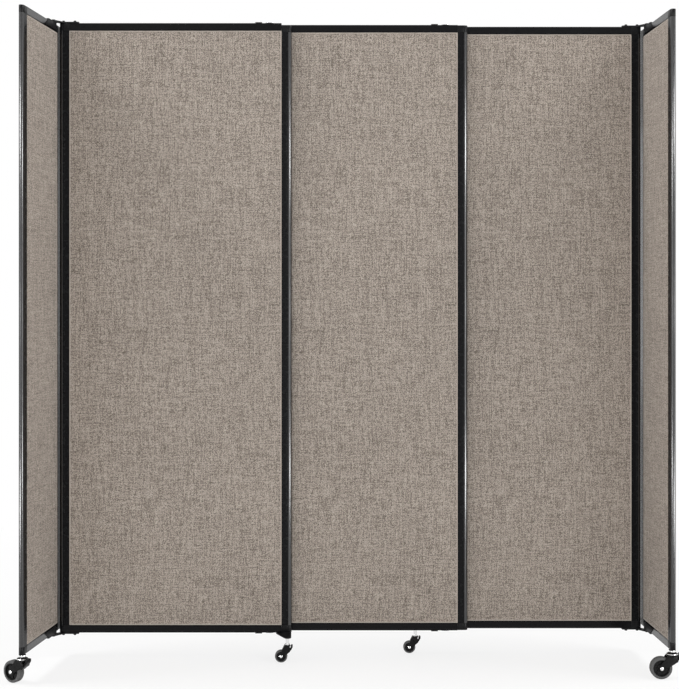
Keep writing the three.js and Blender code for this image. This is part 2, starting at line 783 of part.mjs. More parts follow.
// Small caster with its stem; the group's floor is the panel's underside height below it
function addLeg(group, name, [x, y]) {
  const stem = piece(`${name}_stem`, legStem(PANEL_BOTTOM - SEAT - PLATE_THICKNESS), BRIGHT_STEEL);
  stem.position.set(x, y, -PANEL_BOTTOM);
  group.add(stem);
  addCaster(group, name, LEG_CASTER, x, y, 0, -PANEL_BOTTOM);
}

// Main panel group at a place along the screen and a step in depth
function panelGroup(name, x, step) {
  return groupAt(name, x, HALF_DEPTH + step * PANEL_PITCH, PANEL_BOTTOM);
}

// Wing around its pivot: hinge end behind it, outer post with a caster in front
function wing(name, turn, inner, casterFacing) {
  const group = groupAt(name, 0, 0, 0, turn);
  const frame = groupAt(`${name}_frame`, -PIN_FROM_HINGE_END, 0, WING_BOTTOM);
  addFrame(frame, name, WING_WIDTH, WING_HEIGHT, false, ["hinge", "outer"], drilledPost());
  const stemX = WING_WIDTH - PIN_FROM_HINGE_END - WING_STEM_INSET;
  const stem = piece(`${name}_caster_stem`, wingStem(), BRIGHT_STEEL);
  stem.position.set(stemX, 0, 0);
  group.add(
    frame,
    stem,
    piece(`${name}_top_leaf`, wingLeaf(WING_BOTTOM + WING_HEIGHT, 1, inner), LEAF_BLACK),
    piece(`${name}_bottom_leaf`, wingLeaf(WING_BOTTOM, -1, inner), LEAF_BLACK),
  );
  addCaster(group, `${name}_caster`, WING_CASTER, stemX, 0, casterFacing - turn, 0);
  return group;
}

// Outer post of a wing with the blind hole for the caster's stud
function drilledPost() {
  const post = stile(WING_WIDTH - STILE_WIDTH, 1, WING_HEIGHT, 0);
  const hole = bar(STUD_RADIUS + FIT, -OVERRUN, STUD_LENGTH + SEAT, WING_WIDTH - WING_STEM_INSET, 0);
  return post.subtract(hole);
}

// Whole screen: left panel in front, middle panel, right panel behind, a wing on each end
function screen() {
  const group = new THREE.Group();
  const step = PANEL_WIDTH - PANEL_OVERLAP;
  const sides = ["left", "right"];
  const names = ["left", "middle", "right"];
  const panels = names.map((name, at) => panelGroup(`${name}_panel`, step * at, at));
  names.forEach((name, at) => {
    const drop = name === "left" ? LEFT_INNER_TOP_DROP : 0;
    const last = stile(PANEL_WIDTH - STILE_WIDTH, 1, PANEL_HEIGHT, drop);
    addFrame(panels[at], name, PANEL_WIDTH, PANEL_HEIGHT, true, sides, last);
  });
  const [left, middle, right] = panels;
  const far = PANEL_WIDTH - BRACKET_INSET;
  addBrackets(left, "left", far, 1);
  addBrackets(middle, "middle_left", BRACKET_INSET, -1);
  addBrackets(middle, "middle_right", far, 1);
  addBrackets(right, "right", BRACKET_INSET, -1);
  addForwardArm(left);
  addFootPlate(right);
  const leaves = [
    [left, "left", 0, 1],
    [right, "right", PANEL_WIDTH, -1],
  ];
  leaves.forEach(([panel, name, end, inwards]) => {
    panel.add(
      piece(`${name}_top_leaf`, mainLeaf(end, inwards, PANEL_HEIGHT, 1), LEAF_BLACK),
      piece(`${name}_bottom_leaf`, mainLeaf(end, inwards, 0, -1), LEAF_BLACK),
    );
  });
  const leftWing = wing("left_wing", -Math.PI / 2 - LEFT_SPLAY, 1, LEFT_CASTER_FACING);
  const rightWing = wing("right_wing", -Math.PI / 2 + RIGHT_SPLAY, -1, RIGHT_CASTER_FACING);
  leftWing.position.set(-PIN_OUT, -PIN_FORWARD, 0);
  rightWing.position.set(
    step * (names.length - 1) + PANEL_WIDTH + PIN_OUT,
    PANEL_PITCH * (names.length - 1) - PIN_FORWARD,
    0,
  );
  group.add(...panels, leftWing, rightWing);
  return group;
}

const assembly = screen();
const box = new THREE.Box3().setFromObject(assembly);
const centre = box.getCenter(new THREE.Vector3());
assembly.position.set(-centre.x, -centre.y, -box.min.z);
const part = new THREE.Group();
part.name = "privacy_screen";
part.add(assembly);

export default part;
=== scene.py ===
"""Sliding privacy screen: telescoping fabric panels in slim black frames, hinged wings, locking casters."""

from __future__ import annotations

import json
import logging
import math
from dataclasses import dataclass, replace
from enum import Enum
from typing import Callable, Iterable, Sequence

import bmesh
import bpy
from mathutils import Matrix, Vector


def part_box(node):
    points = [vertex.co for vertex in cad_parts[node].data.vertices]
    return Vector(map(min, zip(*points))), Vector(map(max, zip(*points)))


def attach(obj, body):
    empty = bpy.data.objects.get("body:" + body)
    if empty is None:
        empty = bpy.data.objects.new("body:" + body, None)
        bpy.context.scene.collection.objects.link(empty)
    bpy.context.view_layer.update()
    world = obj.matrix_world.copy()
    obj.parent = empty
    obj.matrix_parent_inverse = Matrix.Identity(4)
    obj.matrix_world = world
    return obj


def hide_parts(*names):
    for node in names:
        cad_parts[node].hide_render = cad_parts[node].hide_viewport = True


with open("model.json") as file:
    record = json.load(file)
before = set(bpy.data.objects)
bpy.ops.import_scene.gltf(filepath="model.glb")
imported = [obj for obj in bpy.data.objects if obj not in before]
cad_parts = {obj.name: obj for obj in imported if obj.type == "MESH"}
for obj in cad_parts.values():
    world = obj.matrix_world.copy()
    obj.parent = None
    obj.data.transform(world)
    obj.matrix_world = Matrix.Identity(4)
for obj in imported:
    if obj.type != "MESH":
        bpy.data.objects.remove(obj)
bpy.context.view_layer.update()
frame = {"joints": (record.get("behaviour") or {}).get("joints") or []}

LOG = logging.getLogger("screen")
MM = 0.001
ROUND_STEPS = 40
SMALL_STEPS = 24
SHARP_ANGLE = math.radians(32)
# In millimetres: points this near are one, the gap between fitted pieces, how deep a screw head sits
MERGE_DISTANCE = 0.0005
PLAY = 0.3
HEAD_SINK = 0.05
# Features a metre in the colour and in the gloss of a finish
MOTTLE = 180.0
WEAR = 55.0
# How far noise mostly goes below and above one half
NOISE_REACH = 0.2
# A flat map cuts the noise between two of its lattice planes, where it has no rows of gaps
NOISE_SLICE = 0.37
Point = tuple[float, float]
Colour = tuple[float, float, float]
Socket = bpy.types.NodeSocket


class Axis(Enum):
    """The direction that an outline is pushed along or turned about."""

    X = "x"
    Y = "y"
    Z = "z"

    def place(self, a: float, b: float, c: float) -> Vector:
        """Point whose outline coordinates are a and b and whose distance along the axis is c."""
        return {Axis.X: Vector((c, a, b)), Axis.Y: Vector((a, c, b)), Axis.Z: Vector((a, b, c))}[self]


class Grain(Enum):
    """The way that the fine lines of an extrusion run, as a scale of its noise."""

    UPRIGHT = (420.0, 420.0, 2.5)
    LEVEL = (2.5, 2.5, 420.0)


@dataclass(frozen=True)
class Placement:
    """Frame of a sub-assembly: its origin in metres and its level x direction."""

    origin: Vector
    along: Vector

    @property
    def across(self) -> Vector:
        """Level direction square to the x direction."""
        return Vector((0, 0, 1)).cross(self.along)

    def matrix(self) -> Matrix:
        """Matrix that takes millimetres of this frame to metres of the object."""
        turn = Matrix((self.along, self.across, Vector((0, 0, 1)))).transposed().to_4x4()
        return Matrix.Translation(self.origin) @ turn @ Matrix.Scale(MM, 4)


def arc(centre: Point, radii: Point, start: float, end: float, steps: int) -> list[Point]:
    """Points of an arc of an ellipse.

    Args:
        centre: Middle of the ellipse.
        radii: Its two half axes.
        start: First angle in degrees.
        end: Last angle in degrees.
        steps: Number of chords.

    Returns:
        The points, ends included.
    """
    angles = [math.radians(start + (end - start) * step / steps) for step in range(steps + 1)]
    return [(centre[0] + radii[0] * math.cos(a), centre[1] + radii[1] * math.sin(a)) for a in angles]


def circle(centre: Point, radius: float, steps: int) -> list[Point]:
    """Points of a full circle, from its first point round to the same place."""
    return arc(centre, (radius, radius), 0, 360, steps)


def hull(points: Iterable[Point]) -> list[Point]:
    """Outer rim of a set of points.

    Args:
        points: The points, in any order.

    Returns:
        The points of the rim, counter-clockwise.
    """
    ordered = sorted(set(points))

    def chain(run: Sequence[Point]) -> list[Point]:
        """Half of the rim.

        Args:
            run: The points, sorted one way.

        Returns:
            The points of this half, without its last.
        """
        rim: list[Point] = []
        for point in run:
            while len(rim) > 1 and (
                (rim[-1][0] - rim[-2][0]) * (point[1] - rim[-2][1])
                <= (rim[-1][1] - rim[-2][1]) * (point[0] - rim[-2][0])
            ):
                rim.pop()
            rim.append(point)
        return rim[:-1]

    return chain(ordered) + chain(ordered[::-1])


def mirrored(half: Sequence[Point]) -> list[Point]:
    """Closed outline from its half on the positive side of the first coordinate."""
    return [*half, *[(-a, b) for a, b in reversed(half)]]


def ring_profile(half: Sequence[Point]) -> list[Point]:
    """Closed profile of a turned ring from its half above the middle plane."""
    return [*half, *[(radius, -level) for radius, level in reversed(half)], half[0]]


def around(items: Sequence[bmesh.types.BMVert]) -> list[tuple[bmesh.types.BMVert, bmesh.types.BMVert]]:
    """Pairs of neighbours round a closed loop."""
    return list(zip(items, [*items[1:], items[0]]))


def verts_in(found: Iterable[object]) -> list[bmesh.types.BMVert]:
    """The vertices among the results of a mesh operator."""
    return [item for item in found if isinstance(item, bmesh.types.BMVert)]


class Draft:
    """A mesh in the making, in millimetres in the frame of its sub-assembly."""

    def __init__(self) -> None:
        """Starts an empty mesh."""
        self.mesh = bmesh.new()

    def prism(self, outline: Sequence[Point], low: float, high: float, axis: Axis = Axis.Z) -> Draft:
        """Adds an outline pushed from low to high along an axis.

        Args:
            outline: Corner points of the section.
            low: Start along the axis.
            high: End along the axis.
            axis: Direction of the push.

        Returns:
            This draft.
        """
        corners = [self.mesh.verts.new(axis.place(a, b, low)) for a, b in outline]
        face = self.mesh.faces.new(corners)
        far = verts_in(bmesh.ops.extrude_face_region(self.mesh, geom=[face])["geom"])
        bmesh.ops.translate(self.mesh, verts=far, vec=axis.place(0, 0, high - low))
        walls = {wall for vert in corners + far for wall in vert.link_faces}
        bmesh.ops.recalc_face_normals(self.mesh, faces=list(walls))
        return self

    def slab(self, x: Point, y: Point, z: Point) -> Draft:
        """Adds a box between three pairs of limits.

        Args:
            x: Limits along x, in either order.
            y: Limits along y.
            z: Limits along z.

        Returns:
            This draft.
        """
        made = bmesh.ops.create_cube(self.mesh, size=1.0)["verts"]
        size = Vector([abs(pair[1] - pair[0]) for pair in (x, y, z)])
        middle = Vector([(pair[0] + pair[1]) / 2 for pair in (x, y, z)])
        bmesh.ops.scale(self.mesh, vec=size, verts=made)
        bmesh.ops.translate(self.mesh, vec=middle, verts=made)
        return self

    def turned(
        self, profile: Sequence[Point], centre: Point = (0, 0), axis: Axis = Axis.Z, steps: int = ROUND_STEPS
    ) -> Draft:
        """Adds a turned piece from pairs of radius and distance along the axis.

        Args:
            profile: Radii and distances, from end to end.
            centre: Where the axis passes, in the outline coordinates of the axis.
            axis: Direction of the axis.
            steps: Facets round the axis.

        Returns:
            This draft.
        """
        verts = [self.mesh.verts.new(axis.place(centre[0] + r, centre[1], d)) for r, d in profile]
        edges = [self.mesh.edges.new(pair) for pair in zip(verts, verts[1:])]
        known = set(self.mesh.verts) - set(verts)
        bmesh.ops.spin(
            self.mesh,
            geom=verts + edges,
            cent=axis.place(centre[0], centre[1], 0),
            axis=axis.place(0, 0, 1),
            angle=math.tau,
            steps=steps,
            use_merge=True,
        )
        made = [vert for vert in self.mesh.verts if vert not in known]
        bmesh.ops.remove_doubles(self.mesh, verts=made, dist=MERGE_DISTANCE)
        made = [vert for vert in self.mesh.verts if vert not in known]
        walls = {wall for vert in made for wall in vert.link_faces}
        bmesh.ops.recalc_face_normals(self.mesh, faces=list(walls))
        return self

    def bar(
        self,
        radius: float,
        low: float,
        high: float,
        centre: Point = (0, 0),
        axis: Axis = Axis.Z,
        edge: float = 0.4,
        steps: int = SMALL_STEPS,
    ) -> Draft:
        """Adds a round bar with broken edges.

        Args:
            radius: Its radius.
            low: Start along the axis.
            high: End along the axis.
            centre: Where the axis passes.
            axis: Direction of the axis.
            edge: Size of the broken edges.
            steps: Facets round the axis.

        Returns:
            This draft.
        """
        profile = [
            (0, low),
            (radius - edge, low),
            (radius, low + edge),
            (radius, high - edge),
            (radius - edge, high),
            (0, high),
        ]
        return self.turned(profile, centre, axis, steps)

    def soften(self, width: float, segments: int = 2, limit: float = 40.0) -> Draft:
        """Bevels every edge that turns sharply enough.

        Args:
            width: Width of the bevel.
            segments: Facets across it.
            limit: Least turn of an edge, in degrees.

        Returns:
            This draft.
        """
        edges = [
            edge
            for edge in self.mesh.edges
            if len(edge.link_faces) == 2 and edge.calc_face_angle(0.0) > math.radians(limit)
        ]
        bmesh.ops.bevel(
            self.mesh,
            geom=edges,
            offset=width,
            offset_type="OFFSET",
            segments=segments,
            profile=0.5,
            affect="EDGES",
            clamp_overlap=True,
            material=-1,
        )
        return self

    def accent(self, inside: Callable[[Vector], bool], index: int = 1) -> Draft:
        """Gives some faces another of the piece's finishes.

        Args:
            inside: Test that the middle of such a face passes.
            index: Place of the finish among the piece's materials.

        Returns:
            This draft.
        """
        for face in self.mesh.faces:
            if inside(face.calc_center_median()):
                face.material_index = index
        return self

    def publish(
        self,
        name: str,
        body: str,
        place: Placement,
        finish: Finish,
        stands_for: Sequence[str] = (),
        accents: Sequence[Finish] = (),
    ) -> bpy.types.Object:
        """Makes the draft an object of the scene.

        Args:
            name: Name of the piece.
            body: Body that it rides on.
            place: Frame that its millimetres are in.
            finish: Its surface.
            stands_for: CAD nodes that it replaces.
            accents: Further finishes, for the faces that were marked.

        Returns:
            The object, at the origin, with its place in its mesh.
        """
        bmesh.ops.transform(self.mesh, matrix=place.matrix(), verts=self.mesh.verts)
        data = bpy.data.meshes.new(name)
        self.mesh.to_mesh(data)
        self.mesh.free()
        data.shade_smooth()
        data.set_sharp_from_angle(angle=SHARP_ANGLE)
        piece = bpy.data.objects.new(name, data)
        bpy.context.scene.collection.objects.link(piece)
        for surface in (finish, *accents):
            data.materials.append(surface.material())
        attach(piece, body)
        if stands_for:
            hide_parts(*stands_for)
        LOG.info("piece %s on %s, %d faces", name, body, len(data.polygons))
        return piece


class NodeBench:
    """Short hand for building the node tree of one material."""

    def __init__(self, name: str) -> None:
        """Starts a material with an empty tree and its shader.

        Args:
            name: Name of the material.
        """
        self.material = bpy.data.materials.new(name)
        self.material.use_nodes = True
        self.tree = self.material.node_tree
        self.tree.nodes.clear()
        self.shader = self.add("ShaderNodeBsdfPrincipled")
        output = self.add("ShaderNodeOutputMaterial")
        self.link(self.shader.outputs["BSDF"], output.inputs["Surface"])

    def add(self, kind: str, **settings: object) -> bpy.types.Node:
        """Adds a node.

        Args:
            kind: Type of the node.
            **settings: Its properties.

        Returns:
            The node.
        """
        node = self.tree.nodes.new(kind)
        for key, value in settings.items():
            setattr(node, key, value)
        return node

    def link(self, source: Socket, target: Socket) -> None:
        """Joins two sockets."""
        self.tree.links.new(source, target)

    def coordinates(self, scale: Sequence[float], surface: bool = False) -> Socket:
        """Scaled coordinates.

        Args:
            scale: Scale along each axis.
            surface: Whether they are those of the piece's own UV map and not of the object.

        Returns:
            The coordinates.
        """
        source = self.add("ShaderNodeTexCoord")
        mapping = self.add("ShaderNodeMapping")
        mapping.inputs["Scale"].default_value = tuple(scale)
        if surface:
            mapping.inputs["Location"].default_value[2] = NOISE_SLICE
        self.link(source.outputs["UV" if surface else "Object"], mapping.inputs["Vector"])
        return mapping.outputs["Vector"]

    def noise(
        self, scale: Sequence[float], detail: float = 3.0, rough: float = 0.55, surface: bool = False
    ) -> Socket:
        """Noise of a fine scale.

        Args:
            scale: Features a metre along each axis.
            detail: Octaves of the noise.
            rough: Weight of the finer octaves.
            surface: Whether it lies on the piece's own UV map.

        Returns:
            A value between 0 and 1.
        """
        node = self.add("ShaderNodeTexNoise")
        node.inputs["Scale"].default_value = 1.0
        node.inputs["Detail"].default_value = detail
        node.inputs["Roughness"].default_value = rough
        self.link(self.coordinates(scale, surface), node.inputs["Vector"])
        return node.outputs["Fac"]

    def spread(self, value: Socket, low: float, high: float) -> Socket:
        """Maps the middle of a noise value to a range.

        Args:
            value: The noise.
            low: Least result.
            high: Greatest result.

        Returns:
            The result.
        """
        return self.span(value, NOISE_REACH, low, high)

    def span(self, value: Socket, contrast: float, low: float = 0.0, high: float = 1.0) -> Socket:
        """Maps what lies round one half to a range.

        Args:
            value: The value.
            contrast: How far below and above one half the range reaches.
            low: Result at its lower end.
            high: Result at its upper end.

        Returns:
            The result.
        """
        node = self.add("ShaderNodeMapRange")
        node.inputs["From Min"].default_value = 0.5 - contrast
        node.inputs["From Max"].default_value = 0.5 + contrast
        node.inputs["To Min"].default_value = low
        node.inputs["To Max"].default_value = high
        self.link(value, node.inputs["Value"])
        return node.outputs["Result"]

    def tint(self, share: Socket, dark: Colour | Socket, light: Colour) -> Socket:
        """Mixes two colours.

        Args:
            share: Share of the light one.
            dark: First colour, or the socket that gives it.
            light: Second colour.

        Returns:
            The mixed colour.
        """
        node = self.add("ShaderNodeMix", data_type="RGBA")
        first, second = [item for item in node.inputs if item.type == "RGBA"]
        if isinstance(dark, Socket):
            self.link(dark, first)
        else:
            first.default_value = (*dark, 1)
        second.default_value = (*light, 1)
        self.link(share, node.inputs["Factor"])
        return next(item for item in node.outputs if item.type == "RGBA")

    def sum(self, first: Socket, second: Socket, share: float) -> Socket:
        """Blends two values.

        Args:
            first: One value.
            second: The other.
            share: Share of the second.

        Returns:
            The blended value.
        """
        node = self.add("ShaderNodeMix", data_type="FLOAT")
        node.inputs["Factor"].default_value = share
        self.link(first, node.inputs["A"])
        self.link(second, node.inputs["B"])
        return node.outputs["Result"]

    def relief(self, height: Socket, depth: float, strength: float) -> None:
        """Bumps the surface.

        Args:
            height: Value of the height, between 0 and 1.
            depth: Depth of the relief in metres.
            strength: Share of it that shows.
        """
        node = self.add("ShaderNodeBump")
        node.inputs["Strength"].default_value = strength
        node.inputs["Distance"].default_value = depth
        self.link(height, node.inputs["Height"])
        self.link(node.outputs["Normal"], self.shader.inputs["Normal"])


@dataclass(frozen=True)
class Finish:
    """A surface: its colour range, its gloss and the record's slot that it belongs to."""

    name: str
    slot: str
    dark: Colour
    light: Colour
    gloss: tuple[float, float]

    def material(self) -> bpy.types.Material:
        """The material of this finish, made once."""
        return bpy.data.materials.get(self.name) or self.build()

    def build(self) -> bpy.types.Material:
        """Makes the material: mottled colour, uneven gloss and a fine relief.

        Returns:
            The material.
        """
        bench = NodeBench(self.name)
        mottle = bench.spread(bench.noise((MOTTLE, MOTTLE, MOTTLE)), 0, 1)
        bench.link(bench.tint(mottle, self.dark, self.light), bench.shader.inputs["Base Color"])
        wear = bench.noise((WEAR, WEAR, WEAR), 5.0)
        bench.link(bench.spread(wear, *self.gloss), bench.shader.inputs["Roughness"])
        self.dress(bench)
        return bench.material

    def dress(self, bench: NodeBench) -> None:
        """Adds what is special to this surface."""
        bench.relief(bench.noise((900, 900, 900)), 0.0002, 0.2)


@dataclass(frozen=True)
class ExtrusionFinish(Finish):
    """Black coated aluminium with fine lines along the extrusion."""

    grain: Grain = Grain.UPRIGHT
    shine: float = 0.1
    lines: float = 0.25

    def dress(self, bench: NodeBench) -> None:
        """Adds the low gloss and the die lines."""
        bench.shader.inputs["Specular IOR Level"].default_value = self.shine
        bench.relief(bench.noise(self.grain.value, 2.0), 0.00012, self.lines)


@dataclass(frozen=True)
class PlateFinish(Finish):
    """Black coat or moulding with a slight orange peel."""

    shine: float = 0.14

    def dress(self, bench: NodeBench) -> None:
        """Adds the low gloss and its peel."""
        bench.shader.inputs["Specular IOR Level"].default_value = self.shine
        bench.relief(bench.noise((650, 650, 650), 2.0), 0.0002, 0.25)


@dataclass(frozen=True)
class SteelFinish(Finish):
    """Bright plated steel with faint scratches."""

    def dress(self, bench: NodeBench) -> None:
        """Adds the metal and its polish."""
        bench.shader.inputs["Metallic"].default_value = 1.0
        bench.relief(bench.noise((900, 900, 200), 2.0), 0.00005, 0.2)


@dataclass(frozen=True)
class RubberFinish(Finish):
    """Dull tread rubber with fine pores."""

    def dress(self, bench: NodeBench) -> None:
        """Adds the pores."""
        bench.shader.inputs["Specular IOR Level"].default_value = 0.08
        bench.relief(bench.noise((1400, 1400, 1400), 4.0), 0.0003, 0.4)


@dataclass(frozen=True)
class ClothFinish(Finish):
    """Heather cloth of mixed yarns, woven about a millimetre and a half apart."""

    yarns: float = 620.0
    flecks: Point = (430.0, 370.0)
    contrast: float = 0.05
    # Painted highlight: the lighter cloth colour given to the band beside the frame, in place of light caught
    # at the edge
    rim: Colour = (0.56, 0.5, 0.44)
    slub: float = 400.0
    slub_length: float = 14.0

    def build(self) -> bpy.types.Material:
        """Makes the cloth: slubs both ways, mixed flecks, a painted highlight band along the frame, a plain
        weave relief and a soft sheen.

        Returns:
            The material.
        """
        bench = NodeBench(self.name)
        fleck = bench.noise((*self.flecks, 1), 1.0, 0.7, True)
        warp = bench.noise((self.slub, self.slub_length, 1), 3.0, 0.75, True)
        weft = bench.noise((self.slub_length, self.slub, 1), 3.0, 0.75, True)
        mixed = bench.sum(bench.sum(fleck, warp, 0.33), weft, 0.2)
        # Painted highlight: the marked band beside the frame is tinted towards the lighter rim colour
        rim = bench.add("ShaderNodeAttribute", attribute_type="GEOMETRY", attribute_name="rim")
        colour = bench.tint(bench.span(mixed, self.contrast), self.dark, self.light)
        bench.link(bench.tint(rim.outputs["Fac"], colour, self.rim), bench.shader.inputs["Base Color"])
        bench.link(bench.spread(fleck, *self.gloss), bench.shader.inputs["Roughness"])
        bench.shader.inputs["Sheen Weight"].default_value = 0.1
        bench.shader.inputs["Sheen Roughness"].default_value = 0.5
        bench.shader.inputs["Specular IOR Level"].default_value = 0.15
        yarns = bench.sum(self.waves(bench, "X"), self.waves(bench, "Y"), 0.5)
        weave = bench.sum(yarns, fleck, 0.55)
        bench.relief(weave, 0.0007, 0.6)
        return bench.material

    def waves(self, bench: NodeBench, direction: str) -> Socket:
        """Value of the yarns that run one way.

        Args:
            bench: Bench of the material.
            direction: Axis of the UV map that they follow one another along.

        Returns:
            Their height, between 0 and 1.
        """
        node = bench.add("ShaderNodeTexWave", bands_direction=direction)
        node.inputs["Scale"].default_value = 1.0
        node.inputs["Distortion"].default_value = 1.2
        node.inputs["Detail Scale"].default_value = 0.4
        bench.link(bench.coordinates((self.yarns / 3, self.yarns / 3, 1), True), node.inputs["Vector"])
        return node.outputs["Fac"]


BLACK_DARK = (0.003, 0.003, 0.0034)
BLACK_LIGHT = (0.008, 0.008, 0.0088)
SATIN_DARK = (0.005, 0.005, 0.0055)
SATIN_LIGHT = (0.011, 0.011, 0.012)
CLOTH_DARK = (0.135, 0.112, 0.094)
CLOTH_LIGHT = (0.475, 0.414, 0.359)
STEEL_DARK = (0.42, 0.42, 0.43)
STEEL_LIGHT = (0.62, 0.62, 0.63)
SHELL_DARK = (0.003, 0.003, 0.003)
SHELL_LIGHT = (0.008, 0.008, 0.008)
TREAD_LIGHT = (0.008, 0.0075, 0.007)
POST = ExtrusionFinish("black_post", "black_frame", BLACK_DARK, BLACK_LIGHT, (0.22, 0.3))
NOSE = replace(POST, name="post_nose", gloss=(0.17, 0.19), shine=0.8, lines=0.05)
RAIL = ExtrusionFinish("black_rail", "black_frame", BLACK_DARK, BLACK_LIGHT, (0.16, 0.24), Grain.LEVEL)
WING_RAIL = replace(RAIL, name="wing_rail", shine=0.45)
CAP = PlateFinish("corner_cap", "black_frame", BLACK_DARK, BLACK_LIGHT, (0.3, 0.4))
PLATE = PlateFinish("black_plate", "black_fitting", SATIN_DARK, SATIN_LIGHT, (0.42, 0.55))
CLOTH = ClothFinish("taupe_heather", "taupe_fabric", CLOTH_DARK, CLOTH_LIGHT, (0.85, 0.98))
BOARD = Finish("board_core", "taupe_fabric", (0.2, 0.16, 0.11), (0.3, 0.24, 0.17), (0.7, 0.9))
STEEL = SteelFinish("bright_steel", "bright_steel", STEEL_DARK, STEEL_LIGHT, (0.14, 0.26))
PLASTIC = PlateFinish("caster_shell", "caster_plastic", SHELL_DARK, SHELL_LIGHT, (0.26, 0.36), 0.12)
CORE = PlateFinish("wheel_core", "caster_plastic", (0.004, 0.004, 0.004), (0.01, 0.01, 0.01), (0.26, 0.38))
TREAD = RubberFinish("wheel_tread", "wheel_tread", SHELL_DARK, TREAD_LIGHT, (0.38, 0.5))


@dataclass
class Assembly:
    """A sub-assembly: its name, the body that carries it and the frame that its millimetres are in."""

    name: str
    body: str
    place: Placement

    def show(
        self,
        draft: Draft,
        piece: str,
        finish: Finish,
        stands_for: Sequence[str] = (),
        accents: Sequence[Finish] = (),
        group: str = "",
    ) -> bpy.types.Object:
        """Makes a draft one of the pieces of this sub-assembly.

        Args:
            draft: Its mesh.
            piece: Name of the piece within the sub-assembly.
            finish: Its surface.
            stands_for: CAD nodes that it replaces.
            accents: Further finishes, for the faces that were marked.
            group: Moving group that it rides on, where that isn't the body.

        Returns:
            The object.
        """
        body = f"{self.name}_{group}" if group else self.body
        return draft.publish(f"{self.name}_{piece}", body, self.place, finish, stands_for, accents)

    def screw(self, spots: Iterable[Point], head: Point, face: float, way: int, finish: Finish) -> None:
        """Makes the screw heads of this sub-assembly.

        Args:
            spots: Places of the screws in x and y.
            head: Radius and height of a head.
            face: Height of the face that they sit on.
            way: 1 where they stand up, -1 where they hang down.
            finish: Their surface.
        """
        heads = Draft()
        for spot in spots:
            cross_screw(heads, *head, spot, face, way)
        self.show(heads, "screws", finish)


@dataclass
class RailFitting(Assembly):
    """A fitting on the outer face of a top or bottom rail, at the face's height and on its way out."""

    face: float
    way: int

    def up(self, distance: float) -> float:
        """Height at a distance out of the rail's outer face."""
        return self.face + self.way * distance

    def levels(self, near: float, far: float) -> list[float]:
        """Lower and upper height between two distances out of that face."""
        return sorted((self.up(near), self.up(far)))


@dataclass(frozen=True)
class FrameSection:
    """Sections of the frame's extrusions, in millimetres."""

    depth: float = 19.0
    stile: float = 36.0
    flat: float = 22.5
    seam: float = 1.5
    seam_depth: float = 1.5
    rail: float = 27.7
    board: float = 15.0
    entry: float = 8.0
    track_offset: float = 5.0
    track_width: float = 4.0
    track_depth: float = 4.5
    nose_steps: int = 18
    bead_middle: float = 20.1
    bead_half: float = 2.0
    bead_rise: float = 0.8
    lip: float = 0.3
    groove: float = 3.0
    groove_width: float = 0.8
    groove_slope: float = 0.15
    groove_depth: float = 0.5
    shoulder: float = 2.0

    @property
    def half(self) -> float:
        """Half the frame's depth."""
        return self.depth / 2

    def stile_half(self) -> list[Point]:
        """Half of a stile's section.

        Returns:
            Points of depth and distance outwards, from its nose back to the slot.
        """
        half, seam_end = self.half, self.flat + self.seam
        floor = half - self.seam_depth
        nose = arc((0, seam_end), (half, self.stile - seam_end), 90, 0, self.nose_steps)
        return [
            *nose[:-1],
            (half - 0.15, seam_end),
            (floor, seam_end - 0.1),
            (floor, self.flat + 0.1),
            (half - 0.25, self.flat),
            *arc((half - self.bead_rise, self.bead_middle), (self.bead_rise, self.bead_half), 84, -84, 8),
            (half, self.bead_middle - self.bead_half - 0.5),
            (half, 0.6),
            (half - 0.5, 0),
        ]

    def stile_outline(self, slotted: bool) -> list[Point]:
        """Whole section of a stile.

        Args:
            slotted: Whether it is open for the board, and not closed like its cap.

        Returns:
            Points of depth and distance outwards.
        """
        half = self.stile_half()
        if slotted:
            inner = self.board / 2 + PLAY
            half = [*half, (inner + self.lip, 0), (inner, self.lip), (inner, self.entry + PLAY)]
        return mirrored(half)

    def rail_outline(self, tracks: bool) -> list[Point]:
        """Whole section of a rail.

        Args:
            tracks: Whether its outer face has the two tracks of the slides.

        Returns:
            Points of depth and distance outwards, from its inner edge.
        """
        half, inner, lip = self.half, self.board / 2 + PLAY, self.lip
        outline: list[Point] = [(inner, self.entry + PLAY), (inner, lip), (inner + lip, 0)]
        outline += [(half - 0.8, 0), *arc((half - 0.8, 0.8), (0.8, 0.8), -60, 0, 2)]
        wide, slope, bed = self.groove_width, self.groove_slope, half - self.groove_depth
        for at in (self.groove, self.rail - self.groove - wide):
            outline += [(half, at), (bed, at + slope), (bed, at + wide - slope), (half, at + wide)]
        corner = (half - self.shoulder, self.rail - self.shoulder)
        outline += arc(corner, (self.shoulder, self.shoulder), 0, 90, 6)
        if tracks:
            outer_wall = self.track_offset + self.track_width / 2
            inner_wall = self.track_offset - self.track_width / 2
            floor = self.rail - self.track_depth
            outline += [(outer_wall + lip, self.rail), (outer_wall, self.rail - lip), (outer_wall, floor)]
            outline += [(inner_wall, floor), (inner_wall, self.rail - lip), (inner_wall - lip, self.rail)]
        return mirrored(outline)


SECTION = FrameSection()


